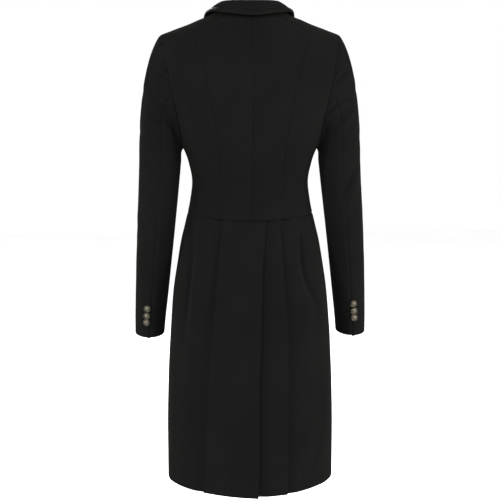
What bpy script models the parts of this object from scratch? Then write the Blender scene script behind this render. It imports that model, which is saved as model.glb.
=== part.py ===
"""Women's dressage frock, filled out as if worn: fitted bodice, two-piece sleeves, pleated skirt.

Metres, +Z up. The wearer faces -Y, so the back is at +Y and the wearer's left is at +X.
The origin lies between the shoulders, at the height of the neck seam's sides.

The body is one form: an oval ring at each height. A place on it is an angle, from the centre
back round to the wearer's left, and a height. Seams are lines on that form, and each panel is
a wall of cloth between two seams. The sleeves spring from the armhole line.
"""

import math

import bmesh
import bpy
import numpy as np
from mathutils import Vector

# ---------------------------------------------------------------- driving sizes
CLOTH = 0.0020          # thickness of the cloth wall
SEAM_GAP = 0.0003       # space between two pieces at a seam
STEPS = 1               # grid steps for each row of the seam tables
LEFT = 1                # the wearer's left side, at +X
RIGHT = -1

# Rings of the body form: height, half width, depth to the back, depth to the front, squareness
BODY_RINGS = (
    (0.020, 0.062, 0.046, 0.038, 2.00),
    (-0.002, 0.076, 0.055, 0.048, 2.00),
    (-0.011, 0.091, 0.062, 0.054, 2.00),
    (-0.016, 0.104, 0.066, 0.058, 1.95),
    (-0.026, 0.127, 0.072, 0.063, 1.85),
    (-0.038, 0.159, 0.078, 0.069, 1.80),
    (-0.0505, 0.187, 0.082, 0.075, 1.80),
    (-0.064, 0.192, 0.086, 0.081, 1.85),
    (-0.105, 0.190, 0.096, 0.098, 2.00),
    (-0.150, 0.183, 0.102, 0.116, 2.10),
    (-0.200, 0.170, 0.104, 0.130, 2.18),
    (-0.240, 0.156, 0.101, 0.136, 2.22),
    (-0.271, 0.144, 0.0965, 0.136, 2.25),
    (-0.285, 0.1365, 0.0935, 0.134, 2.28),
    (-0.306, 0.1288, 0.0885, 0.130, 2.30),
    (-0.350, 0.1207, 0.0810, 0.119, 2.30),
    (-0.390, 0.1253, 0.0815, 0.115, 2.30),
    (-0.432, 0.1345, 0.0900, 0.118, 2.28),
    (-0.475, 0.1447, 0.1030, 0.124, 2.24),
    (-0.516, 0.1517, 0.1130, 0.128, 2.20),
    (-0.580, 0.1613, 0.1240, 0.133, 2.15),
    (-0.643, 0.1662, 0.1310, 0.136, 2.08),
    (-0.772, 0.1732, 0.1400, 0.140, 2.02),
    (-0.870, 0.1752, 0.1450, 0.142, 2.00),
    (-1.000, 0.1748, 0.1500, 0.144, 1.98),
)

# Shoulder seam, set to the back: height, distance from the centre
SHOULDER_SEAM = (
    (-0.002, 0.0450),
    (-0.0164, 0.0650),
    (-0.030, 0.0920),
    (-0.046, 0.1205),
    (-0.0515, 0.1365),
    (-0.0565, 0.1520),
    (-0.0617, 0.1680),
    (-0.067, 0.1830),
)
SHOULDER_ROWS_OF_BACK = 3       # rows of the shoulder seam that the centre back panel takes

# Armhole, from the shoulder tip down: height, angle at the back, angle at the front
ARMHOLE = (
    (-0.0505, 90.0, 90.0),
    (-0.056, 86.5, 93.4),
    (-0.067, 82.9, 96.5),
    (-0.085, 80.2, 99.9),
    (-0.105, 77.7, 103.8),
    (-0.126, 75.9, 107.6),
    (-0.148, 74.6, 111.2),
    (-0.170, 73.3, 113.6),
    (-0.193, 72.6, 115.1),
    (-0.216, 73.0, 115.0),
    (-0.238, 74.9, 112.7),
    (-0.257, 77.9, 109.0),
    (-0.271, 82.2, 103.3),
    (-0.2785, 87.3, 97.2),
    (-0.281, 92.0, 92.0),
)
SHOULDER_END = 2                # row of the armhole where the shoulder seam ends
UNDERARM = 14                   # row of the armhole at the underarm

# Back princess seam, a row for each row of the back armhole: height, distance from the centre
PRINCESS_SEAM = (
    (-0.046, 0.1205),
    (-0.068, 0.1120),
    (-0.091, 0.1045),
    (-0.116, 0.0975),
    (-0.141, 0.0915),
    (-0.167, 0.0855),
    (-0.193, 0.0798),
    (-0.216, 0.0752),
    (-0.238, 0.0718),
    (-0.257, 0.0692),
    (-0.272, 0.0676),
    (-0.286, 0.0663),
    (-0.298, 0.0653),
    (-0.316, 0.0640),
    (-0.337, 0.0627),
    (-0.359, 0.0618),
    (-0.382, 0.0610),
    (-0.403, 0.0605),
    (-0.4215, 0.0602),
)

# Centre back seam: heights of the rows that run to the shoulder and princess seams
CENTRE_BACK = (
    -0.002, -0.022, -0.042, -0.062, -0.081, -0.102, -0.124, -0.147, -0.170, -0.194, -0.217,
    -0.239, -0.258, -0.274, -0.288, -0.301, -0.319, -0.340, -0.361, -0.384, -0.405, -0.424,
)

# Side seam from the underarm to the hem: height, angle on the left, angle on the right
SIDE_SEAM = (
    (-0.281, 92.0, 92.0),
    (-0.305, 94.0, 94.0),
    (-0.330, 96.0, 96.0),
    (-0.355, 97.0, 97.0),
    (-0.380, 97.5, 97.5),
    (-0.402, 97.5, 97.5),
    (-0.415, 97.2, 97.4),
    (-0.450, 95.5, 96.5),
    (-0.490, 92.5, 95.0),
    (-0.530, 89.0, 93.0),
    (-0.570, 85.5, 91.0),
    (-0.610, 82.0, 88.5),
    (-0.650, 79.0, 85.0),
    (-0.700, 76.0, 79.0),
    (-0.755, 74.5, 71.5),
    (-0.810, 74.0, 66.5),
    (-0.865, 74.0, 63.5),
    (-0.915, 75.0, 61.8),
    (-0.950, 76.5, 61.0),
    (-0.978, 78.0, 60.8),
)
WAIST_ROW = 6                   # row of the side seam at the waist seam

# Front edge: neckline, roll line of the lapel, closing edge and cutaway. A row for each row of
# the outer edge: height, angle or distance from the centre (below 0 it is past the centre)
NECK_ROWS = (
    (-0.002, 42.7),
    (-0.002, 66.0),
    (-0.002, 88.0),
    (-0.0035, 100.0),
    (-0.008, 110.0),
    (-0.0145, 119.0),
)
FRONT_EDGE = (
    (-0.0240, 0.0600),
    (-0.050, 0.0570),
    (-0.083, 0.0490),
    (-0.118, 0.0395),
    (-0.153, 0.0290),
    (-0.188, 0.0165),
    (-0.220, 0.0010),
    (-0.248, -0.0150),
    (-0.268, -0.0210),
    (-0.283, -0.0220),
    (-0.296, -0.0220),
    (-0.314, -0.0220),
    (-0.335, -0.0220),
    (-0.357, -0.0220),
    (-0.381, -0.0220),
    (-0.403, -0.0220),
    (-0.420, -0.0220),
    (-0.450, -0.0205),
    (-0.490, -0.0130),
    (-0.530, -0.0010),
    (-0.570, 0.0120),
    (-0.610, 0.0255),
    (-0.650, 0.0390),
    (-0.700, 0.0550),
    (-0.755, 0.0710),
    (-0.810, 0.0855),
    (-0.865, 0.0985),
    (-0.908, 0.1075),
    (-0.938, 0.1160),
    (-0.957, 0.1290),
)
FRONT_HEM_SAG = 0.85            # how much the rows near the front hem sag toward the side seam

# Skirt rows: height, then the distance from the centre of the left pleat edge, of the vent edge
# and of the right pleat edge
SKIRT_ROWS = (
    (-0.424, 0.0613, -0.0282, -0.0584),
    (-0.455, 0.0650, -0.0250, -0.0586),
    (-0.492, 0.0682, -0.0203, -0.0589),
    (-0.530, 0.0715, -0.0176, -0.0612),
    (-0.570, 0.0765, -0.0163, -0.0645),
    (-0.610, 0.0798, -0.0151, -0.0674),
    (-0.650, 0.0830, -0.0143, -0.0690),
    (-0.700, 0.0878, -0.0128, -0.0694),
    (-0.755, 0.0920, -0.0103, -0.0693),
    (-0.810, 0.0945, -0.0098, -0.0692),
    (-0.865, 0.0968, -0.0095, -0.0692),
    (-0.915, 0.0997, -0.0092, -0.0691),
    (-0.953, 0.1016, -0.0086, -0.0690),
    (-0.9862, 0.1030, -0.0080, -0.0690),
)
WAIST_BACK = -0.424             # height of the waist seam at the centre back
WAIST_SIDE_RISE = 0.009         # it is this much higher at the sides
HEM_SIDE_RISE = 0.009           # and the hem is this much higher there
VENT_HEM_STEP = 0.0025           # the left panel hangs this much lower at the vent
UNDERLAP = 0.014                # width of cloth hidden behind a pleat edge or the vent
LAP_DEPTH_WAIST = 0.0032        # how far back that cloth lies, at the waist seam
LAP_DEPTH = 0.0050              # and below it
LAP_RISE = 0.026                # distance in which it comes forward again
EDGE_LIFT = 0.0012              # how far a pressed pleat edge stands out
EDGE_WIDTH = 0.016
CLOSING_LAP = 0.0034            # how far the left front lies behind the right front
CLOSING_RISE = 0.024
SIDE_RIDGE = 0.0012             # pressed ridge along the skirt's side seams
SIDE_RIDGE_WIDTH = 0.010

# Soft folds of the skirt: height and angle at the top, middle and bottom, depth, half width
SKIRT_FOLDS = (
    (-0.435, 64.0, -0.535, 60.5, -0.650, 62.5, 0.0050, 0.011),
    (-0.435, -54.0, -0.520, -49.5, -0.605, -61.0, 0.0050, 0.010),
    (-0.440, 77.0, -0.480, 79.0, -0.540, 84.0, 0.0025, 0.009),
    (-0.440, -80.0, -0.500, -78.0, -0.580, -83.0, 0.0020, 0.010),
    (-0.440, 48.0, -0.470, 46.0, -0.520, 43.0, -0.0018, 0.009),
)

# Rings of the sleeve: height, centre out, half width, centre back, half depth, tilt
SLEEVE_RINGS = (
    (-0.305, 0.1866, 0.0437, 0.000, 0.0580, 0.00),
    (-0.347, 0.1893, 0.0424, 0.002, 0.0560, 0.00),
    (-0.389, 0.1922, 0.0412, 0.004, 0.0535, 0.02),
    (-0.430, 0.1953, 0.0401, 0.003, 0.0510, 0.05),
    (-0.472, 0.1981, 0.0386, -0.001, 0.0490, 0.09),
    (-0.515, 0.2013, 0.0373, -0.008, 0.0475, 0.13),
    (-0.557, 0.2040, 0.0357, -0.015, 0.0460, 0.14),
    (-0.600, 0.2070, 0.0341, -0.023, 0.0445, 0.14),
    (-0.641, 0.2098, 0.0324, -0.031, 0.0430, 0.14),
    (-0.672, 0.2113, 0.0312, -0.036, 0.0420, 0.14),
)
CAP_STEPS = (0.0, 0.12, 0.28, 0.48, 0.72, 1.0)
CAP_REACH = 0.200               # how far the sleeve cap leans out, as a share of its length
CAP_REACH_UNDER = 0.04
RIGHT_SLEEVE_SWING = 0.006      # how much further out the right cuff hangs
CAP_DROP = 0.45                 # how long it then hangs straight
BACK_SLEEVE_SEAM = 7            # armhole rows where the two sleeve seams start
FRONT_SLEEVE_SEAM = 9

# Folds of the sleeve: turn round it and height at both ends, depth, half width
SLEEVE_FOLDS = (
    (40.0, -0.150, 96.0, -0.142, 0.0040, 0.012),
    (62.0, -0.190, 128.0, -0.222, 0.0050, 0.012),
    (70.0, -0.255, 140.0, -0.245, 0.0030, 0.010),
    (255.0, -0.420, 300.0, -0.450, 0.0035, 0.014),
    (262.0, -0.480, 310.0, -0.492, 0.0030, 0.013),
)

# Collar stations: angle, neck height, fold radius and height, edge radius and its height above
# the body
COLLAR = (
    (0.0, -0.002, 0.0475, 0.0232, 0.0680, 0.0140),
    (18.0, -0.002, 0.0485, 0.0232, 0.0692, 0.0138),
    (35.0, -0.002, 0.0505, 0.0232, 0.0720, 0.0128),
    (50.0, -0.002, 0.0525, 0.0229, 0.0765, 0.0126),
    (64.0, -0.002, 0.0545, 0.0222, 0.0820, 0.0130),
    (78.0, -0.002, 0.0567, 0.0209, 0.0865, 0.0114),
    (90.0, -0.0022, 0.0592, 0.0188, 0.0892, 0.0094),
    (101.0, -0.004, 0.0630, 0.0148, 0.0935, 0.0080),
    (111.0, -0.0085, 0.0680, 0.0070, 0.1000, 0.0067),
    (119.0, -0.0138, 0.0730, -0.0030, 0.1075, 0.0064),
    (126.0, -0.0180, 0.0742, -0.0098, 0.1140, 0.0080),
)
FOLD_RADIUS = 0.0032            # roundness of the collar's fold
FALL_BOW = 0.0012               # how far the fall bulges between fold and edge
BINDING_WIDTH = 0.0065
BINDING_CLOTH = 0.0008
BINDING_GAP = 0.0005            # space between the binding and the cloth that it wraps

# Lapel: roll line and outer edge, a row for each step down: height and distance of both
LAPEL = (
    (-0.0300, 0.0596, -0.0640, 0.1010),
    (-0.0520, 0.0568, -0.0830, 0.1165),
    (-0.0830, 0.0488, -0.1040, 0.1180),
    (-0.1180, 0.0393, -0.1320, 0.1090),
    (-0.1530, 0.0288, -0.1630, 0.0920),
    (-0.1860, 0.0173, -0.1930, 0.0690),
    (-0.2130, 0.0060, -0.2180, 0.0430),
    (-0.2400, -0.0105, -0.2420, 0.0050),
)
LAPEL_END = {LEFT: 6, RIGHT: 7}         # last row: the left lapel goes behind the right front
LAPEL_LIFT = 0.0016             # space between the lapel and the front under it
LAPEL_ROLL = 0.0016             # extra height of its rolled edge
LAPEL_COLUMNS = 4

# Buttons: radius and profile of the domed face, radius share and height
BUTTON_RADIUS = 0.0073
BUTTON_PROFILE = ((0.0, 0.0042), (0.38, 0.0040), (0.66, 0.0033), (0.80, 0.0025), (0.92, 0.0024),
                  (1.0, 0.0016), (0.94, 0.0004), (0.0, 0.0))
BUTTON_SEGMENTS = 20
BUTTON_CLEARANCE = 0.0004
CUFF_BUTTON_HEIGHTS = {LEFT: (-0.607, -0.6222, -0.6375), RIGHT: (-0.6005, -0.6160, -0.6310)}
CUFF_BUTTON_TURN = {LEFT: 76.0, RIGHT: 82.0}    # degrees from the sleeve's outer side to the back
FRONT_BUTTON_HEIGHTS = (-0.252, -0.334, -0.416)

BACK_COLUMNS = 4
SIDE_BACK_COLUMNS = 4
CENTRE_LEFT_COLUMNS = 8
CENTRE_RIGHT_COLUMNS = 5
SIDE_COLUMNS = 9


# ---------------------------------------------------------------- smooth tables
def slopes(places, values):
    """Slopes that join a table's rows smoothly and never overshoot them."""
    steps = np.diff(values) / np.diff(places)
    result = np.empty(len(values))
    result[0] = steps[0]
    result[-1] = steps[-1]
    for i in range(1, len(values) - 1):
        before, after = steps[i - 1], steps[i]
        result[i] = 0.0 if before * after <= 0 else 2 * before * after / (before + after)
    return result


class Curve:
    """A smooth curve through the columns of a table, read at a place along it."""

    def __init__(self, rows, places=None):
        self.values = np.array(rows, dtype=float)
        self.places = np.arange(len(rows), dtype=float) if places is None else np.array(places)
        if self.places[0] > self.places[-1]:
            self.places = self.places[::-1]
            self.values = self.values[::-1]
        columns = [slopes(self.places, column) for column in self.values.T]
        self.slopes = np.array(columns).T

    def at(self, place):
        place = min(max(place, self.places[0]), self.places[-1])
        i = min(int(np.searchsorted(self.places, place, side="right")) - 1, len(self.places) - 2)
        span = self.places[i + 1] - self.places[i]
        t = (place - self.places[i]) / span
        start = (1 + 2 * t) * (1 - t) ** 2 * self.values[i]
        end = t * t * (3 - 2 * t) * self.values[i + 1]
        bend = t * (1 - t) ** 2 * self.slopes[i] - t * t * (1 - t) * self.slopes[i + 1]
        return start + end + span * bend


def by_height(table):
    """A curve of a table whose first column is the height."""
    return Curve([row[1:] for row in table], [row[0] for row in table])


def smooth_step(low, high, value):
    t = min(max((value - low) / (high - low), 0.0), 1.0)
    return t * t * (3 - 2 * t)


def bump(distance, half_width):
    return math.exp(-(distance / half_width) ** 2)


# ---------------------------------------------------------------- body form
body_rings = by_height(BODY_RINGS)
side_seams = by_height(SIDE_SEAM)
skirt_lines = by_height(SKIRT_ROWS)


def ring_radius(angle, height):
    half_width, back, front, squareness = body_rings.at(height)
    depth = back if math.cos(angle) >= 0 else front
    across = abs(math.sin(angle) / half_width) ** squareness
    along = abs(math.cos(angle) / depth) ** squareness
    return (across + along) ** (-1 / squareness)


def body_point(angle, height):
    radius = ring_radius(angle, height)
    return Vector((radius * math.sin(angle), radius * math.cos(angle), height))


def body_normal(angle, height):
    small_turn, small_rise = 0.002, 0.0005
    around = body_point(angle + small_turn, height) - body_point(angle - small_turn, height)
    upward = body_point(angle, height + small_rise) - body_point(angle, height - small_rise)
    return upward.cross(around).normalized()


def angle_at(distance, height, front=False):
    """Angle of the place on the body form that lies this far out from the centre."""
    low, high = 0.0, math.pi / 2
    for _ in range(40):
        middle = (low + high) / 2
        across = ring_radius(math.pi - middle if front else middle, height) * math.sin(middle)
        if across < abs(distance):
            low = middle
        else:
            high = middle
    angle = math.copysign(low, distance)
    return math.pi - angle if front else angle


# ---------------------------------------------------------------- folds and laps
def fold_curve(fold):
    top, top_angle, middle, middle_angle, bottom, bottom_angle = fold[:6]
    return Curve([[top_angle], [middle_angle], [bottom_angle]], [top, middle, bottom])


fold_curves = [fold_curve(fold) for fold in SKIRT_FOLDS]


def skirt_fold(angle, height):
    """How far the skirt's soft folds move the cloth in or out."""
    lift = 0.0
    for fold, curve in zip(SKIRT_FOLDS, fold_curves):
        top, bottom, depth, half_width = fold[0], fold[4], fold[6], fold[7]
        strength = smooth_step(top, top - 0.05, height) * smooth_step(bottom - 0.05, bottom + 0.03, height)
        if strength > 0:
            distance = (angle - math.radians(curve.at(height)[0])) * ring_radius(angle, height)
            lift -= depth * strength * bump(distance, half_width)
    return lift


def side_ridge(angle, height):
    if height > -0.62:
        return 0.0
    left, right = side_seams.at(height)
    seam = math.radians(left) if angle > 0 else -math.radians(right)
    distance = (angle - seam) * ring_radius(angle, height)
    return SIDE_RIDGE * smooth_step(-0.62, -0.70, height) * bump(distance, SIDE_RIDGE_WIDTH)


def skirt_form(angle, height):
    return skirt_fold(angle, height) + side_ridge(angle, height)


def lap_depth(height):
    return LAP_DEPTH_WAIST + (LAP_DEPTH - LAP_DEPTH_WAIST) * smooth_step(-0.44, -0.52, height)


def lap(edge_column, direction):
    """Recess of the panel that passes behind the pleat edge or vent of this column."""
    def recess(angle, height):
        edge = angle_at(skirt_lines.at(height)[edge_column], height)
        distance = direction * (angle - edge) * ring_radius(angle, height)
        return skirt_form(angle, height) - lap_depth(height) * (1 - smooth_step(0.0, LAP_RISE, distance))
    return recess


def edge_lift(angle, height, edge_column):
    edge = angle_at(skirt_lines.at(height)[edge_column], height)
    distance = abs(angle - edge) * ring_radius(angle, height)
    strength = smooth_step(-0.43, -0.50, height)
    return EDGE_LIFT * strength * (1 - smooth_step(0.0, EDGE_WIDTH, distance))


PLEAT_LEFT, VENT, PLEAT_RIGHT = 0, 1, 2


def centre_left_form(angle, height):
    edges = edge_lift(angle, height, PLEAT_LEFT) + edge_lift(angle, height, VENT)
    return skirt_form(angle, height) + edges


def centre_right_form(angle, height):
    return lap(VENT, RIGHT)(angle, height) + edge_lift(angle, height, PLEAT_RIGHT)


def front_left_form(angle, height):
    """The left front lies behind the right front where they close."""
    if angle < 0:
        angle += 2 * math.pi
    out = ring_radius(angle, height) * math.sin(angle)
    past = smooth_step(-0.165, -0.215, height)
    covered = 1 - smooth_step(0.024, 0.024 + CLOSING_RISE, out)
    return skirt_form(angle, height) - CLOSING_LAP * past * covered


def plain_form(angle, height):
    return 0.0


# ---------------------------------------------------------------- walls of cloth
def make_material(name, color, roughness, metallic):
    material = bpy.data.materials.new(name)
    material.use_nodes = True
    shader = material.node_tree.nodes["Principled BSDF"]
    shader.inputs["Base Color"].default_value = (*color, 1.0)
    shader.inputs["Roughness"].default_value = roughness
    shader.inputs["Metallic"].default_value = metallic
    return material


def finish(bm, name, material):
    mesh = bpy.data.meshes.new(name)
    bmesh.ops.recalc_face_normals(bm, faces=bm.faces)
    bm.to_mesh(mesh)
    bm.free()
    mesh.shade_smooth()
    mesh.set_sharp_from_angle(angle=math.radians(40))
    piece = bpy.data.objects.new(name, mesh)
    piece.data.materials.append(material)
    jacket.objects.link(piece)
    return piece


def make_wall(name, outer, inner, material):
    """A closed wall: a grid over the outer points, extruded to the inner points."""
    rows, columns = len(outer), len(outer[0])
    outer_points = [point for row in outer for point in row]
    inner_points = [point for row in inner for point in row]
    bm = bmesh.new()
    bmesh.ops.create_grid(bm, x_segments=columns - 1, y_segments=rows - 1, size=1.0)
    number = bm.verts.layers.int.new("number")
    order = sorted(bm.verts, key=lambda vert: (-round(vert.co.y, 6), round(vert.co.x, 6)))
    for index, vert in enumerate(order):
        vert[number] = index
        vert.co = outer_points[index]
    extruded = bmesh.ops.extrude_face_region(bm, geom=list(bm.faces))
    for element in extruded["geom"]:
        if isinstance(element, bmesh.types.BMVert):
            element.co = inner_points[element[number]]
    return finish(bm, name, material)


def inset(places):
    """Draws a panel's four edges in by half a seam gap, on the (angle, height) plane."""
    rows, columns = len(places), len(places[0])

    def flat(i, j):
        angle, height = places[i][j]
        return Vector((angle * ring_radius(angle, height), height))

    def push(i, j, along, inward):
        tangent = along.normalized()
        across = inward - tangent * inward.dot(tangent)
        return across.normalized() * (SEAM_GAP / 2)

    moved = [list(row) for row in places]
    for i in range(rows):
        for j in range(columns):
            shift = Vector((0.0, 0.0))
            if j in (0, columns - 1):
                along = flat(min(i + 1, rows - 1), j) - flat(max(i - 1, 0), j)
                shift += push(i, j, along, flat(i, 1 if j == 0 else columns - 2) - flat(i, j))
            if i in (0, rows - 1):
                along = flat(i, min(j + 1, columns - 1)) - flat(i, max(j - 1, 0))
                shift += push(i, j, along, flat(1 if i == 0 else rows - 2, j) - flat(i, j))
            angle, height = places[i][j]
            moved[i][j] = (angle + shift.x / ring_radius(angle, height), height + shift.y)
    return moved


def make_panel(name, places, form, material, lift=None):
    """A panel of the body: its places are rows of (angle, height), its form an offset there."""
    outer, inner = [], []
    for i, row in enumerate(inset(places)):
        outer.append([])
        inner.append([])
        for j, (angle, height) in enumerate(row):
            raised = form(angle, height) + (lift(i, j) if lift else 0.0)
            point = body_point(angle, height)
            normal = body_normal(angle, height)
            outer[-1].append(point + normal * raised)
            inner[-1].append(point + normal * (raised - CLOTH))
    return make_wall(name, outer, inner, material)


def rows_between(first_edge, second_edge, shares):
    """Places on straight rows from one edge to the other, at the given shares of the way."""
    places = []
    for (angle, height), (far_angle, far_height) in zip(first_edge, second_edge):
        places.append([(angle + (far_angle - angle) * share, height + (far_height - height) * share)
                       for share in shares])
    return places


def even(count):
    steps = count * STEPS
    return [i / steps for i in range(steps + 1)]


def along(first, last):
    """Places along a table's rows, with the finer steps between them."""
    steps = abs(last - first) * STEPS
    return [first + (last - first) * i / steps for i in range(steps + 1)]


# ---------------------------------------------------------------- seam lines
shoulder_curve = Curve(SHOULDER_SEAM)
princess_curve = Curve(PRINCESS_SEAM)
centre_curve = Curve([[height] for height in CENTRE_BACK])
armhole_curve = Curve(ARMHOLE)
side_curve = Curve(SIDE_SEAM)
neck_curve = Curve(NECK_ROWS)
front_curve = Curve(FRONT_EDGE)
skirt_curve = Curve(SKIRT_ROWS)
lapel_curve = Curve(LAPEL)


def back_seam_place(curve, row):
    height, distance = curve.at(row)
    return angle_at(distance, height), height


def armhole_place(row, front=False):
    height, back_angle, front_angle = armhole_curve.at(row)
    return math.radians(front_angle if front else back_angle), height


def side_place(row, side):
    height, left_angle, right_angle = side_curve.at(row)
    return math.radians(left_angle if side == LEFT else right_angle), height


def neck_place(row):
    height, degrees = neck_curve.at(row)
    return math.radians(degrees), height


def front_edge_place(row):
    height, distance = front_curve.at(row)
    return angle_at(distance, height, front=True), height


def waist_row(places):
    """A panel's row that lies on the waist seam, which dips toward the centre back."""
    return [(angle, WAIST_BACK + WAIST_SIDE_RISE * math.sin(angle) ** 2) for angle, height in places]


def mirrored(places, side):
    """The places of a panel drawn for the left, moved to the given side."""
    return [[(angle * side, height) for angle, height in row] for row in places]


# ---------------------------------------------------------------- bodice
def make_back(side, name):
    centre = [(0.0, centre_curve.at(row)[0]) for row in along(0, len(CENTRE_BACK) - 1)]
    outer = [back_seam_place(shoulder_curve, row) for row in along(0, SHOULDER_ROWS_OF_BACK)]
    outer += [back_seam_place(princess_curve, row) for row in along(0, len(PRINCESS_SEAM) - 1)][1:]
    places = rows_between(centre, outer, even(BACK_COLUMNS))
    places[-1] = waist_row(places[-1])
    make_panel(name, mirrored(places, side), plain_form, cloth)


def shoulder_rows_of_side():
    return along(SHOULDER_ROWS_OF_BACK, len(SHOULDER_SEAM) - 1)


def make_side_back(side, name):
    princess = [back_seam_place(princess_curve, row) for row in along(0, len(PRINCESS_SEAM) - 1)]
    outer = [armhole_place(row) for row in along(SHOULDER_END, UNDERARM)]
    outer += [side_place(row, side) for row in along(0, WAIST_ROW)][1:]
    places = rows_between(princess, outer, even(SIDE_BACK_COLUMNS))
    places[0] = [back_seam_place(shoulder_curve, row) for row in shoulder_rows_of_side()]
    places[-1] = waist_row(places[-1])
    make_panel(name, mirrored(places, side), plain_form, cloth)


def make_front(side, name, form):
    outer = [armhole_place(row) for row in along(SHOULDER_END, 0)]
    outer += [armhole_place(row, front=True) for row in along(0, UNDERARM)][1:]
    outer += [side_place(row, side) for row in along(0, len(SIDE_SEAM) - 1)][1:]
    inner = [neck_place(row) for row in along(0, len(NECK_ROWS) - 1)]
    inner += [front_edge_place(row) for row in between_neck_and_edge()]
    shoulder = [back_seam_place(shoulder_curve, row) for row in along(len(SHOULDER_SEAM) - 1, 0)]
    spans = [(body_point(*a) - body_point(*b)).length for a, b in zip(shoulder, shoulder[1:])]
    shares = [sum(spans[:i]) / sum(spans) for i in range(len(spans) + 1)]
    places = rows_between(outer, inner, shares)
    places[0] = shoulder
    for i, row in enumerate(places):
        top, drop = row[0][1], row[-1][1] - row[0][1]
        sag = FRONT_HEM_SAG * smooth_step(-0.86, -0.965, top)
        places[i] = [(angle, height - sag * drop * share * (1 - share))
                     for (angle, height), share in zip(row, shares)]
    make_panel(name, mirrored(places, side), form, cloth)


def between_neck_and_edge():
    """Rows of the front edge, with those that lead to it from the neckline's last row."""
    lead_in = [-1 + i / STEPS for i in range(1, STEPS)]
    return lead_in + along(0, len(FRONT_EDGE) - 1)


def make_lapel(side, name, form):
    roll, outer = [], []
    for row in along(0, LAPEL_END[side]):
        roll_height, roll_distance, height, distance = lapel_curve.at(row)
        roll.append((angle_at(roll_distance, roll_height, front=True), roll_height))
        outer.append((angle_at(distance, height, front=True), height))
    shares = even(LAPEL_COLUMNS)
    places = rows_between(roll, outer, shares)

    def lift(i, j):
        return CLOTH + LAPEL_LIFT + LAPEL_ROLL * (1 - shares[j]) ** 2

    make_panel(name, mirrored(places, side), form, cloth, lift)


# ---------------------------------------------------------------- skirt
def skirt_height(height, angle):
    """Height on a skirt row, which rises a little from the centre back to the sides."""
    waist_share = smooth_step(-0.50, -0.424, height)
    hem_share = smooth_step(-0.90, -0.986, height)
    rise = WAIST_SIDE_RISE * waist_share + HEM_SIDE_RISE * hem_share
    return height + rise * math.sin(angle) ** 2


def skirt_edge(column, hidden=0.0):
    """Places down a pleat edge or the vent, moved by the width of cloth hidden behind it."""
    places = []
    for row in along(0, len(SKIRT_ROWS) - 1):
        values = skirt_curve.at(row)
        height = values[0]
        angle = angle_at(values[1 + column], height)
        angle += hidden / ring_radius(angle, height)
        places.append((angle, skirt_height(height, angle)))
    return places


def skirt_side_edge(side):
    places = [side_place(row, side) for row in along(WAIST_ROW, len(SIDE_SEAM) - 1)]
    return [(angle * side, height) for angle, height in places]


def make_skirt_panel(name, first_edge, second_edge, columns, form, hem_drop=0.0):
    places = rows_between(first_edge, second_edge, even(columns))
    places[0] = waist_row(places[0])
    last = len(places[-1]) - 1
    places[-1] = [(angle, height - hem_drop * j / last)
                  for j, (angle, height) in enumerate(places[-1])]
    make_panel(name, places, form, cloth)


def make_skirt():
    make_skirt_panel("skirt_centre_left", skirt_edge(PLEAT_LEFT), skirt_edge(VENT),
                     CENTRE_LEFT_COLUMNS, centre_left_form, VENT_HEM_STEP)
    make_skirt_panel("skirt_centre_right", skirt_edge(VENT, UNDERLAP), skirt_edge(PLEAT_RIGHT),
                     CENTRE_RIGHT_COLUMNS, centre_right_form)
    make_skirt_panel("skirt_side_left", skirt_edge(PLEAT_LEFT, -UNDERLAP), skirt_side_edge(LEFT),
                     SIDE_COLUMNS, lap(PLEAT_LEFT, LEFT))
    make_skirt_panel("skirt_side_right", skirt_edge(PLEAT_RIGHT, UNDERLAP), skirt_side_edge(RIGHT),
                     SIDE_COLUMNS, lap(PLEAT_RIGHT, RIGHT))


# ---------------------------------------------------------------- sleeves
sleeve_rings = Curve(SLEEVE_RINGS)


def armhole_round():
    """Rows round the armhole from the back sleeve seam over the shoulder and back to it."""
    rows = [(row, False) for row in along(BACK_SLEEVE_SEAM, 0)]
    rows += [(row, True) for row in along(0, UNDERARM)][1:]
    rows += [(row, False) for row in along(UNDERARM, BACK_SLEEVE_SEAM)][1:-1]
    return rows


def sleeve_ring_point(turn, ring):
    height, out, half_width, back, half_depth, tilt = sleeve_rings.at(ring)
    x = out + half_width * math.cos(turn)
    y = back + half_depth * math.sin(turn)
    return Vector((x, y, height - tilt * (y - back)))


def armhole_shares():
    """Share of the way down the armhole, front and back, at each place of its tables."""
    shares = {}
    for front in (False, True):
        rows = along(0, UNDERARM)
        points = [body_point(*armhole_place(row, front)) for row in rows]
        spans = [(b - a).length for a, b in zip(points, points[1:])]
        for index, row in enumerate(rows):
            shares[(round(row, 4), front)] = sum(spans[:index]) / sum(spans)
    return shares


def cap_curve(row, front, share, turn):
    """Start, two handles and end of the line that the sleeve's cloth follows to its first ring."""
    angle, height = armhole_place(row, front)
    start = body_point(angle, height)
    normal = body_normal(angle, height)
    before = body_point(*armhole_place(max(row - 0.1, 0), front))
    after = body_point(*armhole_place(min(row + 0.1, UNDERARM), front))
    edge = (after - before).normalized()
    if row == 0:
        edge = Vector((0.0, 1.0 if not front else -1.0, 0.0))
    if row == UNDERARM:
        edge = Vector((0.0, -1.0 if not front else 1.0, 0.0))
    away = edge.cross(normal) if not front else normal.cross(edge)
    away = away.normalized()
    lean = math.radians(90) * share
    direction = away * math.cos(lean) + normal * math.sin(lean)
    start = start + away * SEAM_GAP
    end = sleeve_ring_point(turn, 0)
    length = (end - start).length
    reach = CAP_REACH + CAP_REACH_UNDER * share
    first = start + direction * (reach * length)
    second = end + Vector((0.0, 0.0, CAP_DROP * length))
    return start, first, second, end


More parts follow.
